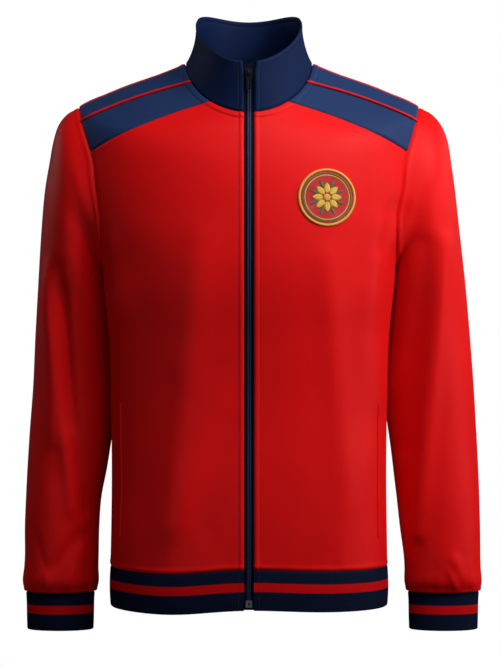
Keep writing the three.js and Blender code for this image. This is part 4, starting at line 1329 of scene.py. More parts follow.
@dataclass
class Sleeves:
    """The two set-in sleeves and their rib cuffs.

    Attributes:
        around: How many columns go round a sleeve.
        blend_rows: How many rings the armhole's shape takes to settle.
        press: How much fuller the sleeve is where it lies against the body.
        allowance: How far its head reaches under the body's cloth.
        sunk_outer: How deep the head's outer face lies there.
        sunk_inner: How deep its inner face lies there.
        rib_pitch: The width of a rib of the cuff.
    """

    around: int = 132
    blend_rows: float = 4.0
    press: float = 7.0
    allowance: float = 3.0
    sunk_outer: float = 1.9
    sunk_inner: float = 2.9
    rib_pitch: float = 2.0

    @staticmethod
    def ring(row: Array, side: Side) -> tuple[Array, Array, Array]:
        """Centres, reaches and half depths of the sleeve's rings.

        Args:
            row: Ring numbers.
            side: The side.

        Returns:
            The centres, the ways from them to the outer edge, and the half depths.
        """
        sizes = SLEEVE.at(row)
        outer, inner = (np.stack([side.value * sizes[f"{edge}_{side.word}"], sizes["middle"],
                                  sizes[f"{edge}_z"]], axis=-1) for edge in ("outer", "inner"))
        centre = (outer + inner) / 2
        return centre, outer - centre, sizes["half_depth"]

    def plain(self, side: Side, rows: Array, count: int) -> Array:
        """The sleeve's points without its folds.

        Args:
            side: The side.
            rows: Ring numbers, with the first on the armhole.
            count: How many points go round.

        Returns:
            A grid of points that joins round.
        """
        places = armhole(np.arange(count) * 360 / count)
        points = BodyForm.point(places[:, 0] * side.value, places[:, 1])
        centre, reach, depth = self.ring(np.array(0.0), side)
        arm = points - centre
        up = (arm @ reach) / (reach @ reach)
        turns = np.unwrap(np.arctan2(-arm[:, 1] / depth, up))
        turns += 2 * np.pi * np.round((np.pi - turns[0]) / (2 * np.pi))
        even = np.pi - 2 * np.pi * np.arange(count) / count

        def on_ring(at: Array, turn: Array) -> Array:
            """Points of rings at given turns."""
            middle, way, half = self.ring(at, side)
            across = -half[..., None] * np.sin(turn)[..., None] * np.array([0.0, 1.0, 0.0])
            return middle[..., :] + way * np.cos(turn)[..., None] + across

        settle = smooth(rows / self.blend_rows)[:, None]
        turn = mix(turns[None], even[None], settle)
        miss = points - on_ring(np.zeros(count), turns)
        grid = on_ring(np.broadcast_to(rows[:, None], turn.shape), turn)
        return grid + miss[None] * (1 - settle)[..., None]

    def sleeve(self, side: Side) -> Array:
        """Makes one sleeve and returns its last ring."""
        last = len(SLEEVE.rows) - 1
        rows = graded(last, 0.13, 0.035, 0.35, 0.3)
        grid = self.plain(side, rows, self.around)
        normals = grid_normals(grid, True) * -side.value
        fade = smooth(rows / 3) * smooth((last - rows) / 2)
        fine = smooth(rows / 2) * smooth((last - rows) / 0.4)
        height = fade[:, None] * fold_height(SLEEVE_FOLDS[side], grid, normals)
        height += fine[:, None] * fold_height(SLEEVE_CREASES[side], grid, normals)
        height += self.gathers(grid, rows, last) + self.overhang(rows, last)[:, None]
        base = self.clear_of_body(grid + normals * height[..., None], rows, side)
        end = np.concatenate([base[-1], base[-1][:1]])
        edge = SLEEVE_HEAD.height(gap_to(base, armhole_line(side))) + RIB_SEAM.height(gap_to(base, end))
        outer = np.concatenate([self.turned_in(side, self.sunk_outer), base + normals * edge[..., None]])
        inner = np.concatenate([self.turned_in(side, self.sunk_inner), base - normals * CLOTH])
        piece = dress(shell(f"sleeve_{side.word}_cloth", outer, inner, True), RED_CLOTH)
        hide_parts(f"sleeve_{side.word}")
        declare_sheet(outer, True)
        return self.plain(side, np.array([0.0, float(last)]), 720)[-1]

    def turned_in(self, side: Side, depth: float) -> Array:
        """The edge of the sleeve's head, which lies under the body's cloth in the armhole seam.

        Args:
            side: The side.
            depth: How far it lies under the body's surface.

        Returns:
            One ring of points.
        """
        places = armhole(np.arange(self.around) * 360 / self.around)
        angles = places[:, 0] * side.value
        points = BodyForm.point(angles, places[:, 1]) - BodyForm.normal(angles, places[:, 1]) * depth
        return (points - np.array([side.value * self.allowance, 0, 0]))[None]

    def clear_of_body(self, base: Array, rows: Array, side: Side) -> Array:
        """Fills the sleeve out towards the body until the two touch, down to the elbow.

        Args:
            base: The sleeve's points.
            rows: Their ring numbers.
            side: The side.

        Returns:
            The points moved.
        """
        x = base[..., 0] * side.value
        centre, reach, _ = self.ring(rows, side)
        inner = smooth(-(x - np.abs(centre[:, :1])) / np.abs(reach[:, :1]))
        start, stop = smooth((rows - 0.3) / 1.2)[:, None], smooth((10.5 - rows) / 2)[:, None]
        fuller = x - self.press * start * stop * inner
        falling = BODY.rows[::-1]
        path = np.interp(-base[..., 2], [-row[5] for row in falling], [row[0] for row in falling])
        ring = BODY.at(path)
        back = base[..., 1] > ring["middle"]
        deep = np.where(back, ring["back"] - ring["middle"], ring["front"] + ring["middle"])
        share = np.clip(np.abs(base[..., 1] - ring["middle"]) / deep, 0, 1)
        wall = ring["half_width"] * (1 - share ** ring["power"]) ** (1 / ring["power"]) + 0.6
        touching = np.minimum(np.maximum(fuller, wall), np.maximum(x, fuller))
        held = mix(x, touching, smooth((rows - 0.2) / 0.8)[:, None])
        return np.concatenate([held[..., None] * side.value, base[..., 1:]], axis=-1)

    @staticmethod
    def gathers(grid: Array, rows: Array, last: float) -> Array:
        """Small gathers where the cuff draws the sleeve in."""
        wave = np.sin(grid[..., 0] / 4.1) + 0.7 * np.sin(grid[..., 0] / 2.6 + grid[..., 1] / 5.0)
        gap = (last - rows)[:, None]
        return 0.35 * wave * smooth(gap / 0.25) * np.exp(-gap / 0.7)

    @staticmethod
    def overhang(rows: Array, last: float) -> Array:
        """How the sleeve stays full until it turns in over its cuff."""
        gap = last - rows
        return 2.7 * smooth((1.5 - gap) / 1.0) * smooth(gap / 0.17)

    def cuff(self, side: Side, ring: Array) -> None:
        """Makes one cuff under the sleeve's last ring."""
        centre = ring.mean(axis=0)
        loop = evened(np.concatenate([ring, ring[:1]]), self.rib_pitch / 4)
        count = (len(loop) - 1) // 4 * 4
        loop = along_line(np.arange(count) / count * (len(loop) - 1), np.arange(len(loop)), loop)
        band = RibBand(self.rib_pitch)
        share = band.shares(abs(CUFF_BOTTOM_Z - centre[2]))
        scale = (0.99 + 0.04 * np.exp(-share / 0.2))[:, None, None]
        base = (loop - centre)[None] * scale + centre
        base[..., 2] = mix(centre[2] - 0.3, CUFF_BOTTOM_Z, share)[:, None]
        normals = grid_normals(base, True) * -side.value
        normals[..., 2] = 0
        normals = unit(normals) * np.sign((unit(normals) * (base - centre)).sum(-1, keepdims=True))
        piece = band.make(f"cuff_{side.word}", base, normals, share, True, CUFF_RIB)
        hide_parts(f"cuff_{side.word}")

    def build(self) -> None:
        """Makes both sleeves and both cuffs."""
        for side in Side:
            self.cuff(side, self.sleeve(side))


@dataclass
class RibBand:
    """A double band of fine rib, rounded over at its free edge.

    Attributes:
        pitch: The width of a rib.
        relief: How far a rib stands up.
        bulge: How far the band's middle stands out.
        tuck: How far its top reaches up inside the cloth above.
        sunk_outer: How deep the tucked outer face lies.
        sunk_inner: How deep the tucked inner face lies.
    """

    pitch: float = 2.0
    relief: float = 0.08
    bulge: float = 0.5
    tuck: float = 2.6
    sunk_outer: float = 1.3
    sunk_inner: float = 0.4

    @staticmethod
    def shares(height: float) -> Array:
        """Rows down the band, close together at its two edges."""
        return graded(1.0, 3.0 / height, 0.7 / height, 2.8 / height, 4.2 / height)

    def make(self, node: str, base: Array, normals: Array, share: Array, joined: bool,
             finish: StripedRib) -> bpy.types.Object:
        """Makes the band.

        Args:
            node: The CAD node that it stands for.
            base: The band's outer grid, its rows running down.
            normals: The way out at each point.
            share: Each row's share of the way down.
            joined: Whether the band joins round.
            finish: The rib's finish.

        Returns:
            The piece.
        """
        count = base.shape[1]
        rib = np.cos(2 * np.pi * np.arange(count) / 4)
        length = float(run_up(base)[-1].mean())
        down = share * length
        fold = RIB / 2 * (1 - np.sqrt(np.maximum(1 - np.clip((down - length + 1.4) / 1.4, 0, 0.96) ** 2, 0)))
        top = 0.7 * bell(down, 1.2)
        swell = self.bulge * np.sin(np.pi * share) - fold - top
        height = swell[:, None] + self.relief * rib[None] * smooth(down / 2)[:, None] * smooth(
            (length - down) / 2)[:, None]
        outer = base + normals * height[..., None]
        inner = base + normals * (-RIB + fold)[:, None, None]
        rise = np.array([0, 0, self.tuck])
        outer = np.concatenate([outer[:1] - normals[:1] * self.sunk_outer + rise, outer])
        inner = np.concatenate([inner[:1] - normals[:1] * self.sunk_inner + rise, inner])
        piece = dress(shell(f"{node}_rib", outer, inner, joined), finish)
        laid_flat = np.concatenate([base[:1] + rise, base])
        declare_sheet(laid_flat, joined)
        return piece


@dataclass
class HemBand:
    """The rib band round the hem, open at the zip.

    Attributes:
        pitch: The width of a rib.
        bulge: How far the CAD's band stands out in the middle.
    """

    pitch: float = 2.4
    bulge: float = 1.2

    def build(self) -> None:
        """Makes the band."""
        edge = float(BodyForm.edge_angle(0.0))
        angles = np.linspace(edge, 360 - edge, 4001)
        ring = BodyForm.plain(angles, np.zeros(angles.shape))
        runs = run_lengths(ring)
        count = int(runs[-1] / self.pitch) * 4
        angles = np.interp(np.linspace(0, runs[-1], count + 1), runs, angles)
        ring = BodyForm.plain(angles, np.zeros(angles.shape))
        normals = BodyForm.normal(angles, np.zeros(angles.shape))
        normals[:, 2] = 0
        normals = unit(normals)
        band = RibBand(self.pitch, bulge=self.bulge)
        share = band.shares(abs(HEM_BOTTOM_Z - HEM_SEAM_Z))
        base = np.repeat(ring[None], len(share), axis=0)
        base[..., 2] += -0.15 + (share * (HEM_BOTTOM_Z - HEM_SEAM_Z))[:, None]
        normals = np.repeat(normals[None], len(share), axis=0)
        piece = band.make("hem_band", base, normals, share, False, HEM_RIB)
        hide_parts("hem_band")


COLLAR = {"half_width": 69.0, "front": 92.0, "back": 66.0, "side": 50.0, "tilt": -45.0, "front_curve": -15.5,
          "back_curve": -33.5, "flare": 2.2, "top_edge_x": 8.4, "spread_z": -24.0}


class CollarForm:
    """The standing collar's surface, by the angle round it and the height up it from 0 to 1."""

    @staticmethod
    def rim(angle: Array) -> Array:
        """Points of the collar's rim."""
        turn = np.radians(angle)
        ahead = np.cos(turn)
        curve = np.where(ahead > 0, COLLAR["front_curve"], COLLAR["back_curve"])
        depth = np.where(ahead > 0, COLLAR["front"], COLLAR["back"])
        z = COLLAR["side"] + COLLAR["tilt"] * ahead + curve * ahead * ahead
        return np.stack([COLLAR["half_width"] * np.sin(turn), -depth * ahead, z], axis=-1)

    @classmethod
    def point(cls, angle: Array, height: Array) -> Array:
        """Points of the collar."""
        angle, height = np.broadcast_arrays(np.asarray(angle, float), np.asarray(height, float))
        low = BodyForm.plain(angle, np.full(angle.shape, NECK))
        high = cls.rim(angle)
        inward = 1 - (1 - height) ** COLLAR["flare"]
        out = mix(low, high, inward[..., None])
        out[..., 2] = mix(low[..., 2], high[..., 2], height)
        return out

    @classmethod
    def normal(cls, angle: Array, height: Array) -> Array:
        """Outward normals of the collar."""
        at = np.clip(height, 0.02, 0.98)
        across = cls.point(angle + ANGLE_STEP, at) - cls.point(angle - ANGLE_STEP, at)
        up = cls.point(angle, at + 0.02) - cls.point(angle, at - 0.02)
        return unit(np.cross(across, up))

    @classmethod
    def edge_angle(cls, height: Array, x: Array | float = FRONT_EDGE_X) -> Array:
        """The angle at which the collar reaches a distance from the middle, wider above the slider."""
        height = np.asarray(height, float)
        z = cls.point(np.zeros(height.shape), height)[..., 2]
        rim = cls.rim(np.array(0.0))[2]
        spread = np.maximum((z - COLLAR["spread_z"]) / (rim - COLLAR["spread_z"]), 0)
        inward = 1 - (1 - height) ** COLLAR["flare"]
        half = mix(BODY.rows[-1][1], COLLAR["half_width"], inward)
        return np.degrees(np.arcsin((x + (COLLAR["top_edge_x"] - FRONT_EDGE_X) * spread) / half))


@dataclass
class Collar:
    """The double standing collar.

    Attributes:
        thickness: Its thickness.
        facing: How far below the rim the inside has its seam.
        tuck: How far its lower edge runs down behind the neck seam.
    """

    thickness: float = 2.6
    facing: float = 6.0
    tuck: float = 2.0

    def build(self) -> None:
        """Makes the collar."""
        first = float(BodyForm.edge_angle(NECK))
        heights = graded(1.0, 0.035, 0.012, 0.1, 0.1)
        half = first + graded(180 - first, 2.2, 0.7, 10, 0)
        angles = np.concatenate([half, (360 - half[::-1])[1:]])
        shift = (CollarForm.edge_angle(heights) - first)[:, None]
        near = smooth(1 - (np.minimum(angles, 360 - angles) - first) / 30)
        spread = angles[None] + np.sign(180 - angles)[None] * shift * near[None]
        rows = np.broadcast_to(heights[:, None], spread.shape)
        base = CollarForm.point(spread, rows)
        normals = CollarForm.normal(spread, rows)
        up = run_up(base)
        below_rim = up[-1][None] - up
        across = run_across(base)
        from_edge = np.minimum(across, across[:, -1:] - across)
        turn = np.radians(spread)
        wave = (0.5 * np.sin(5 * turn + 0.6) * np.sin(np.pi * rows)
                + 0.35 * np.sin(11 * turn + 2.0) * rows * (1 - rows))
        height = wave - 0.8 * bell(up, 1.3) + 0.35 * bell(up - 3.5, 2.5)
        roll = np.minimum(below_rim, from_edge)
        height -= 0.9 * bell(roll, 1.0)
        height += FRONT_FOLD.height(from_edge) + 0.25 * smooth((8 - below_rim) / 2)
        height -= 0.3 * bell(below_rim - 7.5, 0.8)
        outer = base + normals * height[..., None]
        depth = self.thickness - 0.9 * bell(roll, 1.0) - wave - 0.5 * bell(below_rim - self.facing, 0.8)
        depth = depth + 0.3 * smooth((self.facing - below_rim) / 1.5)
        inner = base - normals * depth[..., None]
        tuck = np.array([0.0, 0.0, -self.tuck])
        outer = np.concatenate([outer[:1] + tuck - 0.6 * normals[:1], outer])
        inner = np.concatenate([inner[:1] + tuck, inner])
        piece = dress(shell("collar_cloth", outer, inner), COLLAR_NAVY_PAINTED_SHADE)
        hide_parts("collar")
        declare_sheet(outer)


# Zip


def zip_points(z: Array, x: Array, depth: Array | float) -> Array:
    """Points on the zip's line.

    Args:
        z: Heights up the front.
        x: Distances across from the middle.
        depth: Depths behind the cloth's outer face.

    Returns:
        Points with x, y and z last.
    """
    z, x, depth = (np.array(part, float) for part in np.broadcast_arrays(z, x, depth))
    side = np.where(x < 0, -1.0, 1.0)
    reach = np.maximum(np.abs(x), 0.4)
    neck_z = float(BodyForm.plain(0.0, NECK)[2])
    on_band = z < HEM_SEAM_Z + FRONT_LIFT["height"]
    middle = BodyForm.edge_angle(np.array(ARMPIT))
    path = np.where(on_band, 0.0, BodyForm.path_at(middle, z))
    angle = side * BodyForm.edge_angle(path, reach)
    point, normal = BodyForm.point(angle, path), BodyForm.normal(angle, path)
    share = np.clip((z - neck_z) / (CollarForm.rim(np.array(0.0))[2] - neck_z), 0, 1)
    collar_angle = side * CollarForm.edge_angle(share, reach)
    on_collar = (z >= neck_z)[..., None]
    point = np.where(on_collar, CollarForm.point(collar_angle, share), point)
    normal = np.where(on_collar, CollarForm.normal(collar_angle, share), normal)
    point[..., 2] = z
    normal[..., 2] = 0
    point = point - unit(normal) * depth[..., None]
    point[..., 0] = np.where(np.abs(x) < 0.4, x, point[..., 0])
    return point


@dataclass
class Zip:
    """The front zip: two woven tapes, a covered coil on each, and the dressed slider, tab and box.

    Attributes:
        tape_depth: How far the tapes lie behind the cloth's face.
        tape_inner: The tapes' inner edge.
        tape_outer: The tapes' outer edge.
        tape_thickness: Their thickness.
        coil_width: The width of one covered coil.
        coil_height: How far it stands up.
        tooth: The length of one tooth.
        bottom_z: The zip's lower end.
        top_z: The tapes' upper end.
        chain_top_z: Where the slider parts the coils.
    """

    tape_depth: float = 3.3
    tape_inner: float = -0.3
    tape_outer: float = 15.0
    tape_thickness: float = 0.9
    coil_width: float = 2.9
    coil_height: float = 1.6
    tooth: float = 1.5
    bottom_z: float = -697.0
    top_z: float = -12.0
    chain_top_z: float = -22.8

    def tape(self, side: Side) -> None:
        """Makes one tape."""
        z = np.linspace(self.bottom_z, self.top_z, 230)
        x = np.array([self.tape_inner, 1.5, 3.4, 5.0, 6.2, 9.0, 12.0, self.tape_outer]) * side.value
        front = zip_points(z[:, None], x[None], self.tape_depth)
        rear = zip_points(z[:, None], x[None], self.tape_depth + self.tape_thickness)
        piece = dress(shell(f"zip_tape_{side.word}_weave", front, rear), ZIP_TAPE_PAINTED_SHADE)
        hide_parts(f"zip_tape_{side.word}")
        declare_sheet(front)

    def coil(self, side: Side) -> bpy.types.Object:
        """Makes one coil, its teeth showing as close ridges across it."""
        z = np.arange(self.bottom_z + 12.6, self.chain_top_z, self.tooth / 4)
        across = np.linspace(0, 1, 8)
        x = (-0.1 + across * self.coil_width) * side.value
        crown = np.sqrt(np.maximum(1 - (2 * across - 1) ** 2, 0)) ** 0.7
        shift = 0 if side is Side.LEFT else np.pi
        ridge = 1 - 0.16 * (0.5 + 0.5 * np.cos(2 * np.pi * z / self.tooth + shift))
        lift = self.coil_height * crown[None] * ridge[:, None]
        front = zip_points(z[:, None], x[None], self.tape_depth - lift)
        rear = zip_points(z[:, None], x[None], self.tape_depth + 0.2)
        return dress(shell(f"zip_coil_{side.word}", front, rear), COIL)

    def box_hole_painted_shade(self) -> None:
        """Makes a black square in the bottom box's face, painted shade standing in for its square hole."""
        x, z = np.meshgrid([-1.2, -0.9, 0.9, 1.2], [-690.8, -690.5, -687.9, -687.6])
        rim = np.array([0.0, 0.25, 0.25, 0.0])
        face = np.stack([x, -115.02 - 0.35 * np.minimum(rim[None], rim[:, None]) / 0.25, z], axis=-1)
        back = np.stack([x, np.full(x.shape, -114.6), z], axis=-1)
        dress(shell("zip_box_hole_painted_shade", face, back), BLACK_METAL)

    def build(self) -> None:
        """Makes the tapes and coils, and finishes the metal parts."""
        for side in Side:
            self.tape(side)
        self.box_hole_painted_shade()
        right, left = self.coil(Side.RIGHT), self.coil(Side.LEFT)
        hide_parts("zip_chain")
        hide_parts("zip_chain")
        finishes = {"zip_slider": BLACK_METAL, "zip_pull_tab": BLACK_METAL, "zip_box": GREY_METAL}
        for node, finish in finishes.items():
            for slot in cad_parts[node].material_slots:
                slot.material = WARDROBE.get(finish)


@dataclass
class PocketWelts:
    """The slanting welts of the two front pockets.

    Attributes:
        top_z: Their upper end.
        bottom_z: Their lower end.
        angle: Their angle round the body.
        width: A welt's width.
        height: How far it stands up.
    """

    top_z: float = -440.0
    bottom_z: float = -612.0
    angle: float = 64.0
    width: float = 7.0
    height: float = 1.5

    def build(self) -> None:
        """Makes both welts."""
        for side in Side:
            self.welt(side)

    def welt(self, side: Side) -> None:
        """Makes one welt, rolled over along its edge and caught down at its ends."""
        heights = graded(self.top_z - self.bottom_z, 3.0, 0.8, 5, 5) + self.bottom_z
        path = BodyForm.path_at(self.angle, heights)
        ring = BODY.at(path)
        half = np.degrees(self.width / 2 / ring["half_width"])
        across = np.linspace(-1, 1, 15)
        angles = (self.angle + half[:, None] * across[None]) * side.value
        paths = np.repeat(path[:, None], len(across), axis=1)
        base, normals = BodyForm.point(angles, paths), BodyForm.normal(angles, paths)
        ends = np.minimum(heights - self.bottom_z, self.top_z - heights)[:, None]
        roll = np.sqrt(np.maximum(1 - np.abs(across) ** 4, 0))[None]
        crown = self.height * (0.25 + 0.75 * smooth(ends / 4)) * roll
        groove = 0.3 * bell((across[None] - 0.35) * self.width / 2, 0.5)
        outer = base + normals * (0.35 + crown - groove * smooth(ends / 6))[..., None]
        inner = base + normals * 0.2
        piece = dress(shell(f"pocket_welt_{side.word}_cloth", outer, inner), RED_CLOTH)
        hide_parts(f"pocket_welt_{side.word}")


# Stitching


@dataclass
class Stitching:
    """Rows of topstitching laid on the cloth.

    Attributes:
        pitch: The length from one stitch to the next.
        length: A stitch's length.
        radius: The thread's radius.
    """

    pitch: float = 2.8
    length: float = 2.1
    radius: float = 0.26

    def template(self) -> tuple[Array, list[tuple[int, ...]]]:
        """One stitch along x: its points and faces."""
        places = np.array([-0.5, -0.36, 0.0, 0.36, 0.5]) * self.length
        radii = np.array([0.35, 0.85, 1.0, 0.85, 0.35]) * self.radius
        sink = np.array([-0.3, 0.0, 0.1, 0.0, -0.3]) * self.radius
        turn = 2 * np.pi * np.arange(6) / 6
        rings = [np.stack([np.full(6, p), r * np.cos(turn), r * np.sin(turn) + s], axis=-1)
                 for p, r, s in zip(places, radii, sink)]
        faces: list[tuple[int, ...]] = [tuple(range(5, -1, -1)), tuple(24 + i for i in range(6))]
        for k in range(4):
            for i in range(6):
                here, following = 6 * k + i, 6 * k + (i + 1) % 6
                faces.append((here, following, following + 6, here + 6))
        return np.concatenate(rings), faces

    def row(self, name: str, lines: Sequence[tuple[Array, Array]], finish: Thread,
            slot: str) -> bpy.types.Object:
        """Makes rows of stitches.

        Args:
            name: The piece's name.
            lines: Points along each row, with the way out at each.
            finish: The thread.
            slot: The material slot; not used.

        Returns:
            The piece.
        """
        shape, faces = self.template()
        points: list[Array] = []
        for line, normals in lines:
            runs = run_lengths(line)
            places = np.arange(self.pitch / 2, runs[-1], self.pitch)
            middle = along_line(places, runs, line)
            up = unit(along_line(places, runs, normals))
            along = unit(along_line(places + 0.5, runs, line) - along_line(places - 0.5, runs, line))
            over = np.cross(up, along)
            frames = np.stack([along, over, up], axis=1)
            points.append(middle[:, None] + np.einsum("vk,nkc->nvc", shape, frames))
        every = np.concatenate(points)
        count = len(shape)
        all_faces = [tuple(n * count + v for v in face) for n in range(len(every)) for face in faces]
        uvs = np.tile(shape[:, [1, 0]], (len(every), 1)) * MM
        return dress(make_object(name, every.reshape(-1, 3), all_faces, uvs), finish)

    def build(self) -> None:
        """Makes the rows beside the zip, round the neck and at the pockets."""
        red: list[tuple[Array, Array]] = []
        navy: list[tuple[Array, Array]] = [self.round_rim()]
        rib: list[tuple[Array, Array]] = []
        for side in Side:
            yoke = SEAMS.neck_angle(Seam.YOKE)
            red += [self.beside_zip(side), self.round_neck(side, 3.0, yoke - 0.8, side)]
            navy.append(self.round_neck(side, yoke + 0.8, 88.0, side))
            navy.append(self.up_collar(side))
            rib.append(self.down_band(side))
        red.append(self.round_neck(Side.LEFT, 90.0, 270.0, None))
        self.row("topstitch_red", red, RED_THREAD, "red_cloth")
        self.row("topstitch_navy", navy, NAVY_THREAD, "navy_cloth")
        self.row("topstitch_rib", rib, RIB_THREAD, "navy_rib")

    @staticmethod
    def round_rim() -> tuple[Array, Array]:
        """The row just below the collar's rim."""
        first = float(CollarForm.edge_angle(1.0)) + 2.0
        angles = np.linspace(first, 360 - first, 500)
        heights = np.full(angles.shape, 0.965)
        normals = CollarForm.normal(angles, heights)
        return CollarForm.point(angles, heights) + 0.15 * normals, normals

    @staticmethod
    def beside_zip(side: Side) -> tuple[Array, Array]:
        """The row up a front's edge."""
        paths = np.linspace(2, NECK - 2, 400)
        angles = BodyForm.edge_angle(paths, FRONT_EDGE_X + FRONT_FOLD.allowance) * side.value
        normals = BodyForm.normal(angles, paths)
        return BodyForm.point(angles, paths) + 0.05 * normals, normals

    @staticmethod
    def round_neck(side: Side, start: float, end: float, edge: Side | None) -> tuple[Array, Array]:
        """The row below the neck seam, between two angles."""
        angles = np.linspace(start, end, 200) * side.value
        low = np.full(angles.shape, NECK - 60.0)
        line = evened(neck_line(edge), 0.5)

        def gap(path: Array) -> Array:
            """How far below the row's place a path lies."""
            return NECK_SEAM.allowance - gap_to(BodyForm.point(angles, path), line)

        paths = solve(low, np.full(angles.shape, NECK), gap)
        normals = BodyForm.normal(angles, paths)
        return BodyForm.point(angles, paths) + 0.05 * normals, normals

    @staticmethod
    def up_collar(side: Side) -> tuple[Array, Array]:
        """The row up the collar beside the zip."""
        heights = np.linspace(0.03, 0.97, 120)
        angles = CollarForm.edge_angle(heights, FRONT_EDGE_X + FRONT_FOLD.allowance) * side.value
        normals = CollarForm.normal(angles, heights)
        return CollarForm.point(angles, heights) + 0.1 * normals, normals

    @staticmethod
    def down_band(side: Side) -> tuple[Array, Array]:
        """The row down the hem band beside the zip."""
        share = np.linspace(0.06, 0.94, 60)
        angle = BodyForm.edge_angle(np.zeros(60), FRONT_EDGE_X + FRONT_FOLD.allowance) * side.value
        line = BodyForm.plain(angle, np.zeros(60))
        line[:, 2] += share * (HEM_BOTTOM_Z - HEM_SEAM_Z)
        normals = unit(BodyForm.normal(angle, np.zeros(60)) * [1, 1, 0])
        return line + normals * (1.2 * np.sin(np.pi * share) + 0.2)[:, None], normals


@dataclass
class Badge:
    """A plain round embroidered badge on the wearer's left chest.

    Attributes:
        x: Its middle's distance from the zip.
        z: Its middle's height.
        radius: Its radius.
        rope: The radius of its corded border.
        lift: How far its ground stands off the cloth.
        petals: How many petals its flower has.
    """

    x: float = 97.0
    z: float = -183.0
    radius: float = 36.0
    rope: float = 1.5
    lift: float = 0.8
    petals: int = 8

    def place(self, u: Array, v: Array, height: Array | float) -> Array:
        """Points over the chest.

        Args:
            u: Distances to the wearer's left of the badge's middle.
            v: Distances above it.
            height: Heights off the cloth.

        Returns:
            Points with x, y and z last.
        """
        angle, path = BodyForm.locate(self.x + np.asarray(u, float), self.z + np.asarray(v, float))
        heights = np.broadcast_to(np.asarray(height, float), angle.shape)
        return BodyForm.point(angle, path) + BodyForm.normal(angle, path) * heights[..., None]

    def disc(self, name: str, radius: float, low: float, crown: Callable[[Array, Array], Array], rings: int,
             around: int) -> bpy.types.Object:
        """Makes a low round patch.

        Args:
            name: The piece's name.
            radius: Its radius.
            low: The height of its under side.
            crown: The height of its face, by share of the radius and turn.
            rings: How many rings it has.
            around: How many points go round.

        Returns:
            The piece.
        """
        share = np.linspace(0.02, 1, rings)[:, None]
        turn = (2 * np.pi * np.arange(around) / around)[None]
        u = radius * share * np.cos(turn)
        v = radius * share * np.sin(turn)
        face = self.place(u, v, crown(share, turn))
        under = self.place(u, v, np.full(u.shape, low))
        return shell(name, face, under, True)

    def ring(self, name: str, radius: float, tube: float, base: float, strands: int, relief: float,
             segments: int) -> bpy.types.Object:
        """Makes a round border, laid with slanting strands.

        Args:
            name: The piece's name.
            radius: The ring's radius.
            tube: The cord's radius.
            base: The height of the cord's middle.
            strands: How many strands show round the ring.
            relief: How far the strands stand up.
            segments: How many steps go round.

        Returns:
            The piece.
        """
        turn = (2 * np.pi * np.arange(segments) / segments)[:, None]
        around = (2 * np.pi * np.arange(12) / 12)[None]
        swell = tube * (1 + relief * np.cos(strands * turn + 1.6 * np.cos(around)))
        out = radius + swell * np.cos(around)
        height = base + swell * np.sin(around) * 0.8
        grid = self.place(out * np.cos(turn), out * np.sin(turn), height)
        index = np.arange(segments * 12).reshape(segments, 12)
        nxt, side = np.roll(index, -1, axis=0), np.roll(index, -1, axis=1)
        faces = np.stack([index, side, np.roll(nxt, -1, axis=1), nxt], axis=-1).reshape(-1, 4)
        points = grid.reshape(-1, 3)
        if signed_volume(points, faces) < 0:
            faces = faces[:, ::-1]
        runs = np.stack(np.broadcast_arrays(around * tube, turn * radius), axis=-1).reshape(-1, 2) * MM
        return make_object(name, points, faces.tolist(), runs, 80)

    def petal(self, name: str, turn: float, start: float, end: float, width: float, height: float
              ) -> bpy.types.Object:
        """Makes one satin-stitched petal pointing out from the middle.

        Args:
            name: The piece's name.
            turn: The way that it points, in radians.
            start: The distance at which it starts.
            end: The distance at which it ends.
            width: Its half width.
            height: How far it stands up.

        Returns:
            The piece.
        """
        along = np.linspace(0, 1, 49)[:, None]
        across = np.linspace(-1, 1, 11)[None]
        half = width * np.sin(np.pi * along ** 0.8) ** 0.75 + 0.05
        u = mix(start, end, along)
        v = half * across
        rows = 1 + 0.12 * np.cos(2 * np.pi * (u + 0.8 * np.abs(v)) / 0.9)
        vein = 1 - 0.35 * bell(across, 0.12)
        lift = self.lift + height * np.sqrt(np.maximum(1 - across ** 2, 0)) * rows * vein
        cos, sin = math.cos(turn), math.sin(turn)
        face = self.place(u * cos - v * sin, u * sin + v * cos, lift)
        under = self.place(u * cos - v * sin, u * sin + v * cos, np.full(lift.shape, self.lift - 0.3))
        return shell(name, face, under)

    def build(self) -> None:
        """Makes the badge's ground, borders, flower and ring of knots."""

        def satin(share: Array, turn: Array) -> Array:
            """The ground's height, with fine rows of stitches across it."""
            rows = 0.06 * np.cos(2 * np.pi * self.radius * share * np.sin(turn) / 1.1)
            return self.lift + rows - 0.5 * smooth((share - 0.94) / 0.06)

        def dome(share: Array, turn: Array) -> Array:
            """A raised button."""
            crown = 1.7 * np.sqrt(np.maximum(1 - share ** 2, 0))
            return self.lift + crown + 0.08 * np.cos(14 * turn + 9 * share)

        ground = self.disc("badge_ground", self.radius - 1.0, 0.1, satin, rings=60, around=150)
        dress(ground, BADGE_THREAD)
        for name, inset, tube, base, strands, relief, segments, thread in (
                ("badge_border", self.rope, self.rope, 0.9, 150, 0.16, 900, GOLD_THREAD),
                ("badge_green_ring", 6.0, 0.75, 0.95, 240, 0.1, 960, GREEN_THREAD),
                ("badge_gold_ring", 8.2, 0.6, 0.9, 200, 0.12, 800, GOLD_THREAD)):
            ring = self.ring(name, self.radius - inset, tube, base, strands, relief, segments)
            dress(ring, thread)
        for k in range(self.petals):
            turn = math.pi / 2 + 2 * math.pi * k / self.petals
            dress(self.petal(f"badge_petal_{k + 1}", turn, 5.2, 18.5, 4.0, 1.3), GOLD_THREAD)
            between = turn + math.pi / self.petals
            dress(self.petal(f"badge_leaf_{k + 1}", between, 13.0, 23.0, 1.7, 0.8), GREEN_THREAD)
        dress(self.disc("badge_button", 4.4, 0.3, dome, rings=14, around=56), GOLD_THREAD)


# Studio


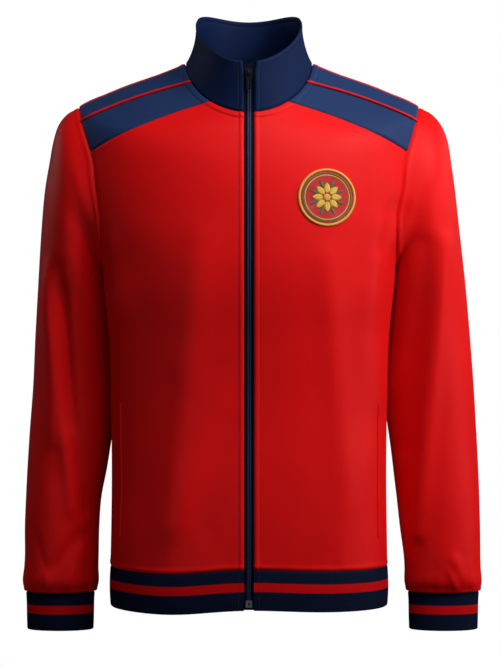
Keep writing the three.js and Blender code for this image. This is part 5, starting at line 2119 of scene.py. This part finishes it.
@dataclass(frozen=True)
class SoftLight:
    """A large soft light.

    Attributes:
        name: Its name.
        place: Where it stands, in metres.
        aim: What it points at.
        size: Its width.
        power: Its power in watts.
    """

    name: str
    place: tuple[float, float, float]
    aim: tuple[float, float, float]
    size: float
    power: float

    def build(self) -> None:
        """Sets the light up."""
        data = bpy.data.lights.new(self.name, "AREA")
        data.size = self.size
        data.energy = self.power
        made = bpy.data.objects.new(self.name, data)
        made.location = self.place
        made.rotation_mode = "QUATERNION"
        made.rotation_quaternion = (Vector(self.aim) - Vector(self.place)).to_track_quat("-Z", "Y")
        made.visible_camera = False
        bpy.context.scene.collection.objects.link(made)


@dataclass
class Studio:
    """The camera, the lights, the white surround and the pale floor.

    Attributes:
        eye: Where the camera stands, in metres.
        sensor: The sensor's long side, in millimetres.
        view_height: What the view takes in at the jacket's middle, in metres.
        floor_z: The floor's height.
        surround: How bright the surround is.
        fill: How much light comes from all round.
    """

    eye: tuple[float, float, float] = (0.0013, -2.7, -0.3525)
    sensor: float = 36.0
    view_height: float = 0.867
    floor_z: float = -1.5
    surround: float = 1.0
    fill: float = 0.035

    def camera(self) -> None:
        """Sets the camera up, level and facing the front."""
        data = bpy.data.cameras.new("view")
        data.sensor_width = self.sensor
        data.lens = self.sensor * -self.eye[1] / self.view_height
        made = bpy.data.objects.new("view", data)
        made.location = self.eye
        made.rotation_euler = (math.pi / 2, 0, 0)
        bpy.context.scene.collection.objects.link(made)
        bpy.context.scene.camera = made

    def light(self) -> None:
        """Sets the lights and the surround up."""
        middle = (0.0, 0.0, -0.25)
        lights = (
            SoftLight("key", (0.9, -0.7, 0.55), middle, 0.42, 12.8),
            SoftLight("right_low", (1.2, -0.35, -0.35), middle, 0.5, 3.6),
            SoftLight("top", (0.25, -0.72, 0.86), middle, 0.5, 7.1),
            SoftLight("left", (-0.6, -1.3, -0.5), middle, 0.6, 1.7),
            SoftLight("left_edge", (-1.2, 0.5, 0.2), middle, 0.5, 2.0),
            SoftLight("right_edge", (1.2, 0.5, 0.2), middle, 0.5, 2.4),
        )
        for light in lights:
            light.build()
        world = bpy.data.worlds.new("surround")
        world.use_nodes = True
        tree = world.node_tree
        tree.nodes.clear()
        out = tree.nodes.new("ShaderNodeOutputWorld")
        either, ray = tree.nodes.new("ShaderNodeMixShader"), tree.nodes.new("ShaderNodeLightPath")
        tree.links.new(ray.outputs["Is Camera Ray"], either.inputs[0])
        for socket, strength in ((1, self.fill), (2, self.surround)):
            white = tree.nodes.new("ShaderNodeBackground")
            white.inputs[0].default_value = (1.0, 1.0, 1.0, 1.0)
            white.inputs[1].default_value = strength
            tree.links.new(white.outputs[0], either.inputs[socket])
        tree.links.new(either.outputs[0], out.inputs[0])
        bpy.context.scene.world = world
        bpy.context.scene.view_settings.view_transform = "Standard"

    def floor(self) -> None:
        """Lays the pale floor."""
        reach = 3.0 / MM
        corners = np.array([(-reach, -reach, 0), (reach, -reach, 0), (reach, reach, 0), (-reach, reach, 0)])
        corners[:, 2] = self.floor_z / MM
        made = make_object("floor", corners, [(0, 1, 2, 3)])
        shader = Shader("pale_floor")
        place = shader.place()
        grain = shader.noise(place, 30.0, 3.0)
        colour = shader.blend_colour(grain, (0.9, 0.9, 0.9, 1.0), (0.86, 0.86, 0.86, 1.0))
        shader.dress(Base_Color=colour, Roughness=0.8, Emission_Color=colour, Emission_Strength=0.8)
        made.data.materials.append(shader.material)
        made.visible_diffuse = False
        made.visible_glossy = False


def main() -> None:
    """Builds the jacket's pieces in order."""
    logging.basicConfig(level=logging.INFO, format="%(name)s: %(message)s")
    studio = Studio()
    studio.camera()
    for part in (PocketWelts(), BodyCloth(), Piping(), Sleeves(), HemBand(), Collar(), Zip(), Stitching(),
                 Badge()):
        part.build()
        log.info("%s done", type(part).__name__)
    studio.light()
    studio.floor()


if __name__ == "__main__":
    main()
